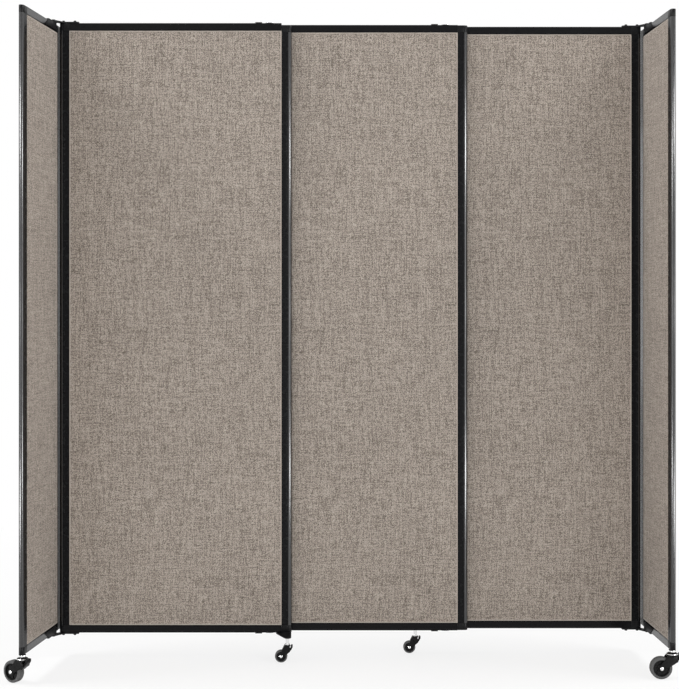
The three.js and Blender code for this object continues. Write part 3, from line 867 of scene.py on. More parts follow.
@dataclass
class FabricPanel(Assembly):
    """One framed fabric board: two stiles with corner caps, two rails, a core and its cloth."""

    width: float
    height: float
    stiles: tuple[str, str]
    tracks: bool = True
    last_drop: float = 0.0
    cap: float = 24.0
    cap_gap: float = 1.2
    cap_edge: float = 0.5
    neck_inset: float = 0.8
    neck_share: float = 0.92
    neck_from: float = 30.0
    end_step: float = 1.5
    cloth_room: float = 0.9
    core_edge: float = 1.5
    cloth_edge: float = 2.4
    cloth_thick: float = 0.8
    # Width of the band beside the frame that gets the painted highlight colour
    painted_highlight_band: float = 5.0
    rail_finish: ExtrusionFinish = RAIL

    def build(self) -> None:
        """Makes every piece of the panel."""
        self.stile(self.stiles[0], SECTION.stile, -1, 0.0)
        self.stile(self.stiles[1], self.width - SECTION.stile, 1, self.last_drop)
        self.rail("top", self.height - SECTION.rail, 1)
        self.rail("bottom", SECTION.rail, -1)
        self.board()

    def stile(self, side: str, edge: float, outwards: int, drop: float) -> None:
        """Makes a stile and its two corner caps.

        Args:
            side: Name of the stile.
            edge: Where its fabric edge is along the panel.
            outwards: 1 where its nose points along x, else -1.
            drop: How much lower its top ends.
        """
        open_outline = [(edge + outwards * u, v) for v, u in SECTION.stile_outline(True)]
        cap_outline = [(edge + outwards * u, v) for v, u in SECTION.stile_outline(False)]
        neck = [
            (x - (self.neck_inset * outwards if abs(x - edge) > self.neck_from else 0), y * self.neck_share)
            for x, y in cap_outline
        ]
        low = self.end_step
        high = self.height - self.end_step - drop
        inset = self.cap + self.cap_gap
        post = Draft().prism(open_outline, low + inset, high - inset)
        post.accent(lambda at: abs(at.x - edge) > SECTION.flat + SECTION.seam)
        self.show(post, f"{side}_extrusion", POST, [f"{self.name}_{side}_stile"], [NOSE])
        for end, start, gap in (("lower", low, low + self.cap), ("upper", high - self.cap, high - inset)):
            cap = Draft().prism(cap_outline, start, start + self.cap).soften(self.cap_edge, 2, 60)
            cap.prism(neck, gap, gap + self.cap_gap)
            self.show(cap, f"{side}_{end}_cap", CAP)

    def rail(self, side: str, edge: float, way: int) -> None:
        """Makes the rail between the stiles.

        Args:
            side: Name of the rail.
            edge: Height of its inner edge.
            way: 1 where it is above the board, -1 below.
        """
        outline = [(v, edge + way * w) for v, w in SECTION.rail_outline(self.tracks)]
        low, high = SECTION.stile + PLAY, self.width - SECTION.stile - PLAY
        draft = Draft().prism(outline, low, high, Axis.X)
        self.show(draft, f"{side}_channel", self.rail_finish, [f"{self.name}_{side}_rail"])

    def board(self) -> None:
        """Makes the stiff core and the cloth sleeve stretched round it."""
        side, end = SECTION.stile - SECTION.entry, SECTION.rail - SECTION.entry
        low, half = side + self.cloth_room, SECTION.board / 2 - self.cloth_room
        core = Draft().slab((low, self.width - low), (-half, half), (end, self.height - end))
        core.soften(self.core_edge, 2)
        self.cloth(self.show(core, "core", BOARD), side, end)

    def cloth(self, core: bpy.types.Object, side: float, end: float) -> None:
        """Makes the sleeve of cloth with its own UV map, in metres along and up the cloth.

        Args:
            core: The board that it is stretched over; not used.
            side: Where its turned edge is along the panel.
            end: Height of its lower edge.
        """
        half, round_edge = SECTION.board / 2, self.cloth_edge
        corners: list[Point] = []
        for x, y, start in (
            (side + round_edge, round_edge - half, 180),
            (self.width - side - round_edge, round_edge - half, 270),
            (self.width - side - round_edge, half - round_edge, 0),
            (side + round_edge, half - round_edge, 90),
        ):
            corners += arc((x, y), (round_edge, round_edge), start, start + 90, 4)
        draft = Draft()
        mesh = draft.mesh
        verts = [mesh.verts.new((x, y, end)) for x, y in corners]
        ring = [mesh.edges.new(pair) for pair in around(verts)]
        runs = [0.0]
        for a, b in around(verts):
            runs.append(runs[-1] + (b.co - a.co).length)
        top = verts_in(bmesh.ops.extrude_edge_only(mesh, edges=ring)["geom"])
        bmesh.ops.translate(mesh, verts=top, vec=(0, 0, self.height - 2 * end))
        mesh.verts.index_update()
        count = len(verts)
        weave = mesh.loops.layers.uv.new("weave")
        for face in mesh.faces:
            places = [loop.vert.index % count for loop in face.loops]
            wraps = max(places) - min(places) > 1
            for loop, spot in zip(face.loops, places):
                run = runs[count] if wraps and spot == 0 else runs[spot]
                loop[weave].uv = (run * MM, loop.vert.co.z * MM)
        self.mark_painted_highlight_band(mesh)
        bmesh.ops.recalc_face_normals(mesh, faces=mesh.faces)
        cloth = self.show(draft, "cloth", CLOTH, [f"{self.name}_board"])
        thickness = cloth.modifiers.new("thickness", "SOLIDIFY")
        thickness.thickness = self.cloth_thick * MM
        thickness.offset = -1.0

    def mark_painted_highlight_band(self, mesh: bmesh.types.BMesh) -> None:
        """Cuts a band along the frame and marks it for a painted highlight: a lighter cloth colour there
        stands in for light caught along the cloth's edge.

        Args:
            mesh: The cloth.
        """
        band = self.painted_highlight_band
        sides = (SECTION.stile, self.width - SECTION.stile)
        ends = (SECTION.rail, self.height - SECTION.rail)
        cuts = [(Vector((x, 0, 0)), Vector((1, 0, 0))) for x in (*sides, sides[0] + band, sides[1] - band)]
        cuts += [(Vector((0, 0, z)), Vector((0, 0, 1))) for z in (*ends, ends[0] + band, ends[1] - band)]
        for place, normal in cuts:
            whole = [*mesh.verts, *mesh.edges, *mesh.faces]
            bmesh.ops.bisect_plane(mesh, geom=whole, dist=0.01, plane_co=place, plane_no=normal)
        # Marks the band beside the frame that gets the painted highlight colour in the cloth
        rim = mesh.verts.layers.float.new("rim")
        slack = 0.1
        for vert in mesh.verts:
            inside_x = sides[0] + slack < vert.co.x < sides[1] - slack
            inside_z = ends[0] + slack < vert.co.z < ends[1] - slack
            vert[rim] = 0.0 if inside_x and inside_z else 1.0


def cross_screw(draft: Draft, radius: float, height: float, centre: Point, face: float, way: int) -> None:
    """Adds the pan head of a screw with a cross recess.

    Args:
        draft: Mesh that takes the head.
        radius: Radius of the head.
        height: Height of the head.
        centre: Place of the screw in x and y.
        face: Height of the face that it sits on.
        way: 1 where the head stands up, -1 where it hangs down.
    """
    mesh = draft.mesh
    known = set(mesh.verts)
    crown = 0.62 * radius
    draft.turned(
        [
            (radius, face),
            (radius, face + way * height * 0.4),
            (radius * 0.93, face + way * height * 0.68),
            (radius * 0.8, face + way * height * 0.88),
            (crown, face + way * height),
        ],
        centre,
        steps=SMALL_STEPS,
    )
    top = face + way * height
    ring = [
        edge
        for edge in mesh.edges
        if not known & set(edge.verts) and all(abs(vert.co.z - top) < 1e-4 for vert in edge.verts)
    ]
    arm, wide = crown * 0.78, crown * 0.2
    cross = [(arm, wide), (wide, wide), (wide, arm), (-wide, arm), (-wide, wide), (-arm, wide)]
    cross += [(-x, -y) for x, y in cross]
    lip = [mesh.verts.new((centre[0] + x, centre[1] + y, top)) for x, y in cross]
    loop = [mesh.edges.new(pair) for pair in around(lip)]
    bmesh.ops.bridge_loops(mesh, edges=ring + loop)
    sunk = bmesh.ops.extrude_edge_only(mesh, edges=loop)["geom"]
    floor = verts_in(sunk)
    bmesh.ops.translate(mesh, verts=floor, vec=(0, 0, -way * height * 0.5))
    bottom = [edge for edge in sunk if isinstance(edge, bmesh.types.BMEdge) and set(edge.verts) <= set(floor)]
    bmesh.ops.edgeloop_fill(mesh, edges=bottom)
    base = [
        edge
        for edge in mesh.edges
        if edge.is_boundary and not known & set(edge.verts) and abs(edge.verts[0].co.z - face) < 1e-4
    ]
    bmesh.ops.edgeloop_fill(mesh, edges=base)
    made = {wall for vert in mesh.verts if vert not in known for wall in vert.link_faces}
    bmesh.ops.recalc_face_normals(mesh, faces=list(made))


@dataclass
class SlideBracket(RailFitting):
    """Joggled bracket on a rail with the guide tongue that runs in the neighbour's track."""

    x: float
    toward: int
    base: float = 28.0
    arm: float = 24.0
    thick: float = 2.5
    pitch: float = 32.0
    spread: float = 19.0
    bend: float = 0.9
    head: Point = (3.0, 1.8)

    def build(self) -> None:
        """Makes the bent strap, its tongue and its screws."""
        near = SECTION.half - self.thick
        base_top = PLAY + self.thick
        arm_top = base_top + self.thick
        arm = (self.x - self.arm / 2, self.x + self.arm / 2)
        side_view = (
            (PLAY, PLAY),
            (SECTION.half, PLAY),
            (SECTION.half, base_top),
            (self.pitch - PLAY, base_top),
            (self.pitch - PLAY, arm_top),
            (near + self.bend, arm_top),
            (near, arm_top - self.bend),
            (near, base_top),
            (PLAY, base_top),
        )
        strap = Draft().prism([(self.toward * y, self.up(z)) for y, z in side_view], *arm, Axis.X)
        for side in (-1, 1):
            strap.slab(
                (self.x + side * self.base / 2, self.x + side * (self.arm / 2 - 1)),
                (self.toward * PLAY, self.toward * SECTION.half),
                (self.up(PLAY), self.up(base_top)),
            )
        strap.soften(0.35, 2, 50)
        self.show(strap, "strap", PLATE, [self.name])
        middle = self.pitch - SECTION.track_offset
        half = SECTION.track_width / 2 - PLAY
        tongue = Draft().slab(
            arm,
            (self.toward * (middle - half), self.toward * (middle + half)),
            (self.up(PLAY - SECTION.track_depth), self.up(base_top + 0.2)),
        )
        self.show(tongue.soften(0.5, 2), "tongue", CORE)
        spots = [(self.x + side * self.spread / 2, self.toward * near / 2) for side in (-1, 1)]
        self.screw(spots, self.head, self.up(base_top - HEAD_SINK), self.way, STEEL)


@dataclass
class PivotLeaf(RailFitting):
    """Leaf screwed on the outer end of a main panel, with the finger that holds the wing's pin."""

    end: float
    inwards: int
    out: float = 16.0
    forward: float = 21.0
    thick: float = 4.5
    length: float = 70.0
    corner: float = 4.0
    finger: float = 12.0
    root: float = 12.0
    hole: float = 4.3
    screws: tuple[float, float] = (13.5, 54.5)
    head: Point = (5.4, 5.4)

    def build(self) -> None:
        """Makes the plate with its round finger and hole, and its screws."""
        half, corner = SECTION.half, self.corner
        pin = (self.end - self.inwards * self.out, -half - self.forward)
        root = (self.end + self.inwards * self.root, 0.0)
        levels = self.levels(PLAY, PLAY + self.thick)
        ends = [self.end + self.inwards * inset for inset in (corner, self.length - corner)]
        rounds = [circle((x, y), corner, 16) for x in ends for y in (half - corner, corner - half)]
        leaf = Draft().prism(hull([point for arcs in rounds for point in arcs]), *levels)
        self.show(leaf.soften(0.5, 2, 50), "plate", PLATE, [self.name])
        finger = hull([*circle(pin, self.finger, 36), *circle(root, half, 24)])
        self.show(self.pierced(finger, pin, levels), "finger", PLATE)
        spots = [(self.end + self.inwards * inset, 0.0) for inset in self.screws]
        self.screw(spots, self.head, self.up(PLAY + self.thick - HEAD_SINK), self.way, PLATE)

    def pierced(self, outline: Sequence[Point], pin: Point, levels: Sequence[float]) -> Draft:
        """Makes the finger with the pin's hole through it.

        Args:
            outline: Outline of the finger.
            pin: Middle of the hole.
            levels: Lower and upper height.

        Returns:
            The draft of the finger.
        """
        draft = Draft()
        mesh = draft.mesh
        rim = [mesh.verts.new((x, y, levels[0])) for x, y in outline]
        hole = [mesh.verts.new((x, y, levels[0])) for x, y in circle(pin, self.hole, 24)[:-1]]
        edges = [mesh.edges.new(pair) for loop in (rim, hole) for pair in around(loop)]
        bmesh.ops.triangle_fill(mesh, use_beauty=True, edges=edges)
        far = verts_in(bmesh.ops.extrude_face_region(mesh, geom=mesh.faces[:])["geom"])
        bmesh.ops.translate(mesh, verts=far, vec=(0, 0, levels[1] - levels[0]))
        bmesh.ops.recalc_face_normals(mesh, faces=mesh.faces)
        return draft.soften(0.4, 2, 60)


@dataclass
class WingLeaf(RailFitting):
    """Leaf wrapped over a wing rail: top plate, side flange, spacer, pin and cap."""

    inner: int
    back: float = 15.0
    front: float = 80.0
    thick: float = 4.5
    drop: float = 9.0
    flange_back: float = 4.0
    flange_thick: float = 2.0
    flange_height: float = 22.0
    flange_front: float = 114.0
    spacer: float = 11.5
    pin: float = 4.0
    pin_cap: float = 7.0
    pin_cap_height: float = 2.4
    screws: tuple[float, float] = (32.0, 62.0)
    head: Point = (5.2, 3.4)

    def build(self) -> None:
        """Makes the plate with its flange, the pin and the screws."""
        half, top = SECTION.half, PLAY + self.thick
        outer = half + PLAY + self.flange_thick
        nose = arc((half - self.back, 0), (half, half), 90, 270, 12)
        levels = self.levels(PLAY, top)
        plate = Draft().prism([*nose, (self.front, -half), (self.front, half)], *levels)
        across = (self.inner * (half - 1), self.inner * outer)
        plate.slab((self.flange_back, self.front), across, (levels[0], levels[1]))
        side = [
            (self.flange_back, self.up(top - 1)),
            (self.flange_back, self.up(-self.flange_height + 3)),
            (self.flange_back + 3, self.up(-self.flange_height)),
            (self.flange_front - 3, self.up(-self.flange_height)),
            (self.flange_front, self.up(2 - self.flange_height)),
            (self.front + 4, self.up(-2)),
            (self.front, self.up(top - 1)),
        ]
        plate.prism(side, *sorted((self.inner * (half + PLAY), self.inner * outer)), Axis.Y)
        self.show(plate.soften(0.4, 2, 50), "plate", PLATE, [self.name])
        self.hinge_pin(top)
        self.screw([(x, 0.0) for x in self.screws], self.head, self.up(top - HEAD_SINK), self.way, PLATE)

    def hinge_pin(self, top: float) -> None:
        """Makes the pin with its spacer and cap.

        Args:
            top: Distance of the plate's face out of the rail.
        """
        finger = self.drop + PLAY
        cap = finger + self.thick + PLAY
        pin = Draft().bar(self.spacer, *self.levels(top - 0.1, finger - PLAY))
        pin.bar(self.pin, *self.levels(finger - 1, cap + 1))
        pin.bar(self.pin_cap, *self.levels(cap, cap + self.pin_cap_height), edge=0.8)
        self.show(pin, "pin", PLATE)


@dataclass
class FootPlate(Assembly):
    """Plate under a main rail that carries the stem of a small caster."""

    corners: Sequence[Point]
    stem: Point
    screws: Sequence[Point]
    round_end: float = 13.0
    thick: float = 4.0
    head: Point = (4.5, 2.4)

    def build(self) -> None:
        """Makes the plate with its rounded end and the screws below."""
        outline = hull([*self.corners, *circle(self.stem, self.round_end, 40)])
        plate = Draft().prism(outline, -PLAY - self.thick, -PLAY).soften(0.6, 2, 50)
        self.show(plate, "sheet", PLATE, [self.name])
        self.screw(self.screws, self.head, -PLAY - self.thick + HEAD_SINK, -1, STEEL)


@dataclass
class SwivelCaster(Assembly):
    """Locking swivel caster: stem on the carrying body, hooded fork with its axle, wheel and brake pedal."""

    radius: float = 37.5
    width: float = 26.0
    clearance: float = 1.0
    trail: float = 39.0
    crown: float = 20.0
    crown_height: float = 6.7
    crown_back: float = 18.0
    side_gap: float = 0.8
    side_thick: float = 3.0
    axle: float = 4.0
    axle_boss: float = 10.0
    axle_cap: float = 6.0
    axle_cap_depth: float = 2.5
    kingpin: float = 5.0
    rivet: float = 8.0
    rivet_height: float = 3.0
    pivot: float = 11.0
    pivot_drop: float = 12.0
    pivot_radius: float = 2.5
    pivot_boss: float = 6.0
    barrel: float = 4.5
    reach: float = 20.0
    rise: float = 23.0
    pad_gap: float = 1.5
    tyre_round: float = 0.14
    tyre_seat: float = 0.76
    rim_share: float = 0.68
    hub_share: float = 0.34
    recess: float = 0.16
    rib_sink: float = 0.05
    rib_half: float = 0.9
    rib_turn: float = 15.0
    tyre_steps: int = 72
    core_steps: int = 64
    wheel_ribs: int = 6
    pedal_ribs: int = 3

    @property
    def crown_bottom(self) -> float:
        """Height of the crown's underside."""
        return self.radius * 2 + self.clearance

    @property
    def crown_top(self) -> float:
        """Height of the crown's top."""
        return self.crown_bottom + self.crown_height

    def build(self) -> None:
        """Makes the four moving groups of the caster."""
        self.wheel()
        self.fork()
        self.brake()
        self.stem()

    def wheel(self) -> None:
        """Makes the tread and the ribbed core."""
        spot = (-self.trail, self.radius)
        half, radius = self.width / 2, self.radius
        crown, seat = radius * self.tyre_round, radius * self.tyre_seat
        shoulder = arc((radius - crown, half - crown), (crown, crown), 90, 0, 6)
        tyre = Draft().turned(ring_profile([(seat, half), *shoulder]), spot, Axis.Y, self.tyre_steps)
        self.show(tyre, "tread", TREAD, [f"{self.name}_wheel"], group="wheel")
        hub, rim, bore = radius * self.hub_share, radius * self.rim_share, self.axle + PLAY
        floor = half - radius * self.recess
        face = [(bore, half), (hub - 0.6, half), (hub, half - 0.6), (hub, floor), (rim, floor)]
        face += [(rim, half - 1.2), (rim + 0.8, half - 0.4), (seat - 0.1, half - 0.4)]
        core = Draft().turned(ring_profile(face), spot, Axis.Y, self.core_steps)
        self.ribs(core, (hub - 1, rim + 1), (floor - 0.5, half - radius * self.rib_sink - 1.2))
        self.show(core, "core", CORE, group="wheel")

    def ribs(self, draft: Draft, radii: Point, levels: Point) -> None:
        """Adds the ribs of the wheel's two faces.

        Args:
            draft: Mesh of the wheel's core.
            radii: Inner and outer end of a rib.
            levels: Its foot and its top, from the wheel's middle plane.
        """
        for side in (-1, 1):
            for rib in range(self.wheel_ribs):
                before = set(draft.mesh.verts)
                draft.slab(radii, (side * levels[0], side * levels[1]), (-self.rib_half, self.rib_half))
                made = [vert for vert in draft.mesh.verts if vert not in before]
                angle = rib * math.tau / self.wheel_ribs + math.radians(self.rib_turn)
                turn = Matrix.Rotation(angle, 3, "Y")
                bmesh.ops.rotate(draft.mesh, cent=(0, 0, 0), matrix=turn, verts=made)
                bmesh.ops.translate(draft.mesh, vec=(-self.trail, 0, self.radius), verts=made)

    def side_outline(self) -> list[Point]:
        """Outline of a side plate.

        Returns:
            Points of x and height, round the axle, the pedal's pin and the crown.
        """
        pivot_z = self.crown_bottom - self.pivot_drop
        return hull(
            [
                *circle((-self.trail, self.radius), self.axle_boss, 40),
                *circle((self.pivot, pivot_z), self.pivot_boss, 28),
                *arc((-self.crown_back + 4, self.crown_top - 4), (4, 4), 90, 180, 6),
                (self.pivot, self.crown_top),
            ]
        )

    def fork(self) -> None:
        """Makes the hooded fork, its axle and the bright caps."""
        inner = self.width / 2 + self.side_gap
        outer = inner + self.side_thick
        outline = self.side_outline()
        shell = Draft()
        for side in (-1, 1):
            shell.prism(outline, *sorted((side * inner, side * outer)), Axis.Y)
        edge, bore = min(2.0, self.crown_height / 3), self.kingpin + PLAY
        shell.turned(
            [
                (bore, self.crown_bottom),
                (self.crown - edge, self.crown_bottom),
                (self.crown, self.crown_bottom + edge),
                (self.crown, self.crown_top - edge),
                (self.crown - edge, self.crown_top),
                (bore, self.crown_top),
                (bore, self.crown_bottom),
            ]
        )
        hood = [
            (-self.crown_back, self.crown_bottom - 1),
            (-self.crown_back, self.crown_top - 2),
            (2 - self.crown_back, self.crown_top),
            (-self.kingpin - 2, self.crown_top),
            (-self.kingpin - 2, self.crown_bottom),
        ]
        shell.prism(hood, -outer + 0.5, outer - 0.5, Axis.Y)
        shell.soften(0.7, 3, 50)
        self.show(shell, "shell", PLASTIC, [f"{self.name}_fork"], group="fork")
        spot, cap, depth = (-self.trail, self.radius), self.axle_cap, self.axle_cap_depth
        profile = [
            (0, outer - 1),
            (cap, outer - 1),
            (cap, outer + depth * 0.45),
            (cap * 0.8, outer + depth * 0.85),
            (cap * 0.45, outer + depth),
            (0, outer + depth),
        ]
        caps = Draft()
        for side in (-1, 1):
            caps.turned([(radius, side * level) for radius, level in profile], spot, Axis.Y)
        caps.bar(self.axle, -outer, outer, spot, Axis.Y)
        self.show(caps, "axle", STEEL, group="fork")

    def brake(self) -> None:
        """Makes the pedal with its toe, barrel and grip ribs."""
        inner = self.width / 2 + self.side_gap - PLAY
        outer = inner + PLAY + self.side_thick
        pad = inner * 0.8
        x0, z0 = self.pivot, self.crown_bottom - self.pivot_drop
        inner_x = self.crown + self.pad_gap - self.pivot
        low = self.pivot_drop - self.pad_gap
        radius = self.radius
        outline = [
            (-0.333 * radius, -0.36 * radius),
            (-0.21 * radius, -0.43 * radius),
            (0.107 * radius, -0.16 * radius),
            (self.reach * 0.65, self.rise * 0.17),
            (self.reach, self.rise * 0.6),
            (self.reach, self.rise),
            (inner_x, self.rise),
            (inner_x, low),
            (0.08 * radius, 0.16 * radius),
            (-0.107 * radius, 0.053 * radius),
        ]
        pedal = Draft().prism([(x0 + x, z0 + z) for x, z in outline], -pad, pad, Axis.Y)
        pedal.soften(radius * 0.07, 4, 25)
        pedal.bar(self.barrel, -inner, inner, (x0, z0), Axis.Y)
        pedal.bar(self.pivot_radius, -outer, outer, (x0, z0), Axis.Y)
        length, level = self.reach - inner_x, z0 + self.rise
        for rib in range(self.pedal_ribs):
            middle = x0 + inner_x + length * (rib + 0.75) / (self.pedal_ribs + 0.5)
            along = (middle - length * 0.1, middle + length * 0.1)
            pedal.slab(along, (-pad * 0.8, pad * 0.8), (level - 1, level + 0.5))
        self.show(pedal, "pedal", PLASTIC, [f"{self.name}_brake"], group="brake")

    def foot(self) -> list[Point]:
        """Profile of the king pin and the rivet head below the crown.

        Returns:
            Points of radius and height.
        """
        head = self.crown_bottom - PLAY
        return [
            (0, head - self.rivet_height),
            (self.rivet * 0.7, head - self.rivet_height),
            (self.rivet, head - self.rivet_height * 0.5),
            (self.rivet, head),
            (self.kingpin, head),
        ]

    def stem(self) -> None:
        """Makes the stem of this caster; each size has its own."""
        raise NotImplementedError


@dataclass
class PostCaster(SwivelCaster):
    """Large caster under a wing post: bearing cup, bright ring, nut and stud."""

    cup: float = 20.0
    cup_height: float = 7.0
    nut: float = 11.0
    nut_height: float = 8.7
    washer_height: float = 1.8
    stud: float = 5.0
    stud_length: float = 20.0

    def stem(self) -> None:
        """Makes the cup, the nut and the stud that enters the post."""
        low = self.crown_top + PLAY
        top = low + self.cup_height
        nut_top = top + self.nut_height
        cup = Draft().turned(
            [
                *self.foot(),
                (self.kingpin, low),
                (self.cup - 1, low),
                (self.cup, low + 0.8),
                (self.cup, low + 2.2),
                (self.cup - 1.2, low + 3.2),
                (self.nut + 2, top - 0.8),
                (self.nut, top),
                (0, top),
            ]
        )
        cup.accent(lambda at: at.to_2d().length > self.nut + 2 and low + 0.6 < at.z < low + 3.4)
        cup.accent(lambda at: at.z < low)
        self.show(cup, "cup", PLASTIC, [f"{self.name}_stem"], [STEEL])
        hexagon = circle((0, 0), self.nut, 6)[:-1]
        nut = Draft().prism(hexagon, top - 0.2, nut_top - self.washer_height).soften(0.8, 2, 50)
        nut.bar(self.stud, top, nut_top + self.stud_length)
        self.show(nut, "nut", STEEL)
        washer = Draft().bar(self.nut + 1, nut_top - self.washer_height, nut_top)
        self.show(washer, "washer", PLASTIC)


@dataclass
class LegCaster(SwivelCaster):
    """Small caster under a foot plate on a bright round stem."""

    underside: float = 85.7
    plate: float = 4.0
    shank: float = 6.5
    collar: float = 8.5
    collar_height: float = 4.0
    stud: float = 4.0

    def stem(self) -> None:
        """Makes the stem with its collar, up into the plate."""
        low = self.crown_top + PLAY
        top = self.underside - PLAY
        profile = [
            *self.foot(),
            (self.kingpin, low),
            (self.collar - 0.6, low),
            (self.collar, low + 0.6),
            (self.collar, low + self.collar_height - 0.8),
            (self.collar - 0.8, low + self.collar_height),
            (self.shank, low + self.collar_height),
            (self.shank, top - 0.4),
            (self.shank - 0.4, top),
            (self.stud, top),
            (self.stud, self.underside + self.plate - 0.6),
            (0, self.underside + self.plate - 0.6),
        ]
        self.show(Draft().turned(profile), "shank", STEEL, [f"{self.name}_stem"])


def small_caster(name: str, body: str, place: Placement) -> LegCaster:
    """Caster of the small size.

    Args:
        name: Its name.
        body: Body that carries it.
        place: Frame on its swivel axis.

    Returns:
        The caster, not built yet.
    """
    return LegCaster(
        name=name, body=body, place=place, radius=22.0, width=16.0, clearance=11.0, trail=22.0,
        crown=11.0, crown_height=7.0, crown_back=12.0, side_gap=0.7, side_thick=2.2, axle=3.0,
        axle_boss=7.0, axle_cap=4.5, axle_cap_depth=1.5, kingpin=3.5, rivet=5.5, rivet_height=2.0,
        pivot=6.4, pivot_drop=13.0, pivot_radius=1.8, pivot_boss=4.2, barrel=3.0, reach=12.5,
        rise=20.0, pad_gap=1.2,
    )


@dataclass
class Screen:
    """The whole screen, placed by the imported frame's nodes and joints."""

    panel_width: float = 836.0
    panel_height: float = 2195.0
    wing_width: float = 380.0
    wing_drop: float = 9.0
    hinge_inset: float = 55.0
    bracket_inset: float = 80.0
    left_top_drop: float = 6.0
    arm_inset: float = 1.5
    arm_length: float = 54.0
    arm_stem: Point = (12.0, 58.0)
    arm_screw: float = 14.0
    foot_length: float = 48.0
    foot_stem: Point = (12.0, -5.5)
    foot_screws: tuple[float, float] = (8.0, 21.0)

    def joint(self, name: str) -> Vector:
        """Place of a joint in metres."""
        return Vector(next(j["pos_m"] for j in frame["joints"] if j["name"] == name))

    def panel_place(self, name: str) -> Placement:
        """Frame of a main panel.

        Args:
            name: Name of the panel.

        Returns:
            The frame at its left end, middle plane and underside.
        """
        low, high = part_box(f"{name}_left_stile")
        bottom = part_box(f"{name}_bottom_rail")[0].z
        return Placement(Vector((low.x, (low.y + high.y) / 2, bottom)), Vector((1, 0, 0)))

    def wing_place(self, name: str) -> Placement:
        """Frame of a wing.

        Args:
            name: Name of the wing.

        Returns:
            The frame at its pivot on the floor, the way that it points.
        """
        pin = self.joint(f"{name}_hinge").to_2d()
        post = self.joint(f"{name}_caster_swivel").to_2d()
        along = (post - pin).normalized().to_3d()
        return Placement(Vector((pin.x, pin.y, 0)), along)

    def caster_place(self, name: str) -> Placement:
        """Frame of a caster.

        Args:
            name: Name of the caster.

        Returns:
            The frame at its swivel axis on the floor, with the trail along -x.
        """
        swivel = self.joint(f"{name}_swivel").to_2d()
        axle = self.joint(f"{name}_spin").to_2d()
        return Placement(Vector((swivel.x, swivel.y, 0)), (swivel - axle).normalized().to_3d())

    def build(self) -> None:
        """Makes the panels, the wings and what joins and carries them."""
        places = {name: self.panel_place(name) for name in ("left", "middle", "right")}
        for name, place in places.items():
            size, ends = (self.panel_width, self.panel_height), ("left", "right")
            drop = self.left_top_drop if name == "left" else 0.0
            FabricPanel(name, f"{name}_panel", place, *size, ends, last_drop=drop).build()
        self.brackets(places)
        self.feet(places)
        for side in ("left", "right"):
            self.wing(side, places[side])

    def brackets(self, places: dict[str, Placement]) -> None:
        """Makes the slide brackets on the top and bottom rails.

        Args:
            places: Frames of the main panels.
        """
        far = self.panel_width - self.bracket_inset
        spots = (
            ("left", "left", far, 1),
            ("middle_left", "middle", self.bracket_inset, -1),
            ("middle_right", "middle", far, 1),
            ("right", "right", self.bracket_inset, -1),
        )
        for name, panel, x, toward in spots:
            for side, face, way in (("top", self.panel_height, 1), ("bottom", 0.0, -1)):
                bracket, body = f"{name}_{side}_bracket", f"{panel}_panel"
                SlideBracket(bracket, body, places[panel], face, way, x, toward).build()

    def feet(self, places: dict[str, Placement]) -> None:
        """Makes the forward arm, the foot plate and the small casters.

        Args:
            places: Frames of the main panels.
        """
        half = SECTION.half
        high = self.panel_width - self.arm_inset
        low = high - self.arm_length
        arm_stem = (self.panel_width - self.arm_stem[0], -half - self.arm_stem[1])
        corners = [(low, half), (low, -half), (high, half), (high, -half)]
        screws = [((low + high) / 2 + side * self.arm_screw, 0.0) for side in (-1, 1)]
        FootPlate("forward_arm", "left_panel", places["left"], corners, arm_stem, screws).build()
        corners = [(self.foot_length, half), (self.foot_length, -half)]
        screws = [(self.foot_length - inset, 0.0) for inset in self.foot_screws]
        FootPlate("foot_plate", "right_panel", places["right"], corners, self.foot_stem, screws).build()
        small_caster("front_caster", "left_panel", self.caster_place("front_caster")).build()
        small_caster("rear_caster", "right_panel", self.caster_place("rear_caster")).build()

    def wing(self, side: str, panel: Placement) -> None:
        """Makes one wing with its pivots and its caster.

        Args:
            side: Name of the side that it is on.
            panel: Frame of the main panel that it hangs on.
        """
        name = f"{side}_wing"
        pivot = self.wing_place(name)
        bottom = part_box(f"{name}_bottom_rail")[0].z / MM
        height = self.panel_height - 2 * self.wing_drop
        start = pivot.origin - pivot.along * self.hinge_inset * MM + Vector((0, 0, bottom * MM))
        place, size, ends = Placement(start, pivot.along), (self.wing_width, height), ("hinge", "outer")
        FabricPanel(name, name, place, *size, ends, tracks=False, rail_finish=WING_RAIL).build()
        end, inwards, inner = (0.0, 1, 1) if side == "left" else (self.panel_width, -1, -1)
        levels = (("top", self.panel_height, bottom + height, 1), ("bottom", 0.0, bottom, -1))
        for level, face, wing_face, way in levels:
            PivotLeaf(f"{side}_{level}_leaf", f"{side}_panel", panel, face, way, end, inwards).build()
            WingLeaf(f"{name}_{level}_leaf", name, pivot, wing_face, way, inner).build()
        PostCaster(f"{name}_caster", name, self.caster_place(f"{name}_caster")).build()


class Rays(Enum):
    """The kinds of reflection that a lamp shows in."""

    ALL = "all"
    GLOSS = "gloss"
    MATT = "matt"


@dataclass(frozen=True)
class Softbox:
    """An area lamp: its name, place and size in metres, its radiance, what it points at and its rays."""

    name: str
    place: tuple[float, float, float]
    size: Point
    radiance: float
    target: tuple[float, float, float] = (0.0, 0.1, 1.1)
    rays: Rays = Rays.ALL

    def build(self) -> None:
        """Makes the lamp, unseen by the camera itself."""
        data = bpy.data.lights.new(self.name, "AREA")
        data.shape = "RECTANGLE"
        data.size, data.size_y = self.size
        data.energy = self.radiance * math.pi * self.size[0] * self.size[1]
        lamp = bpy.data.objects.new(self.name, data)
        lamp.location = self.place
        aim = Vector(self.target) - Vector(self.place)
        lamp.rotation_euler = aim.to_track_quat("-Z", "Y").to_euler()
        lamp.visible_camera = False
        lamp.visible_diffuse = self.rays is not Rays.GLOSS
        lamp.visible_glossy = self.rays is not Rays.MATT
        bpy.context.scene.collection.objects.link(lamp)


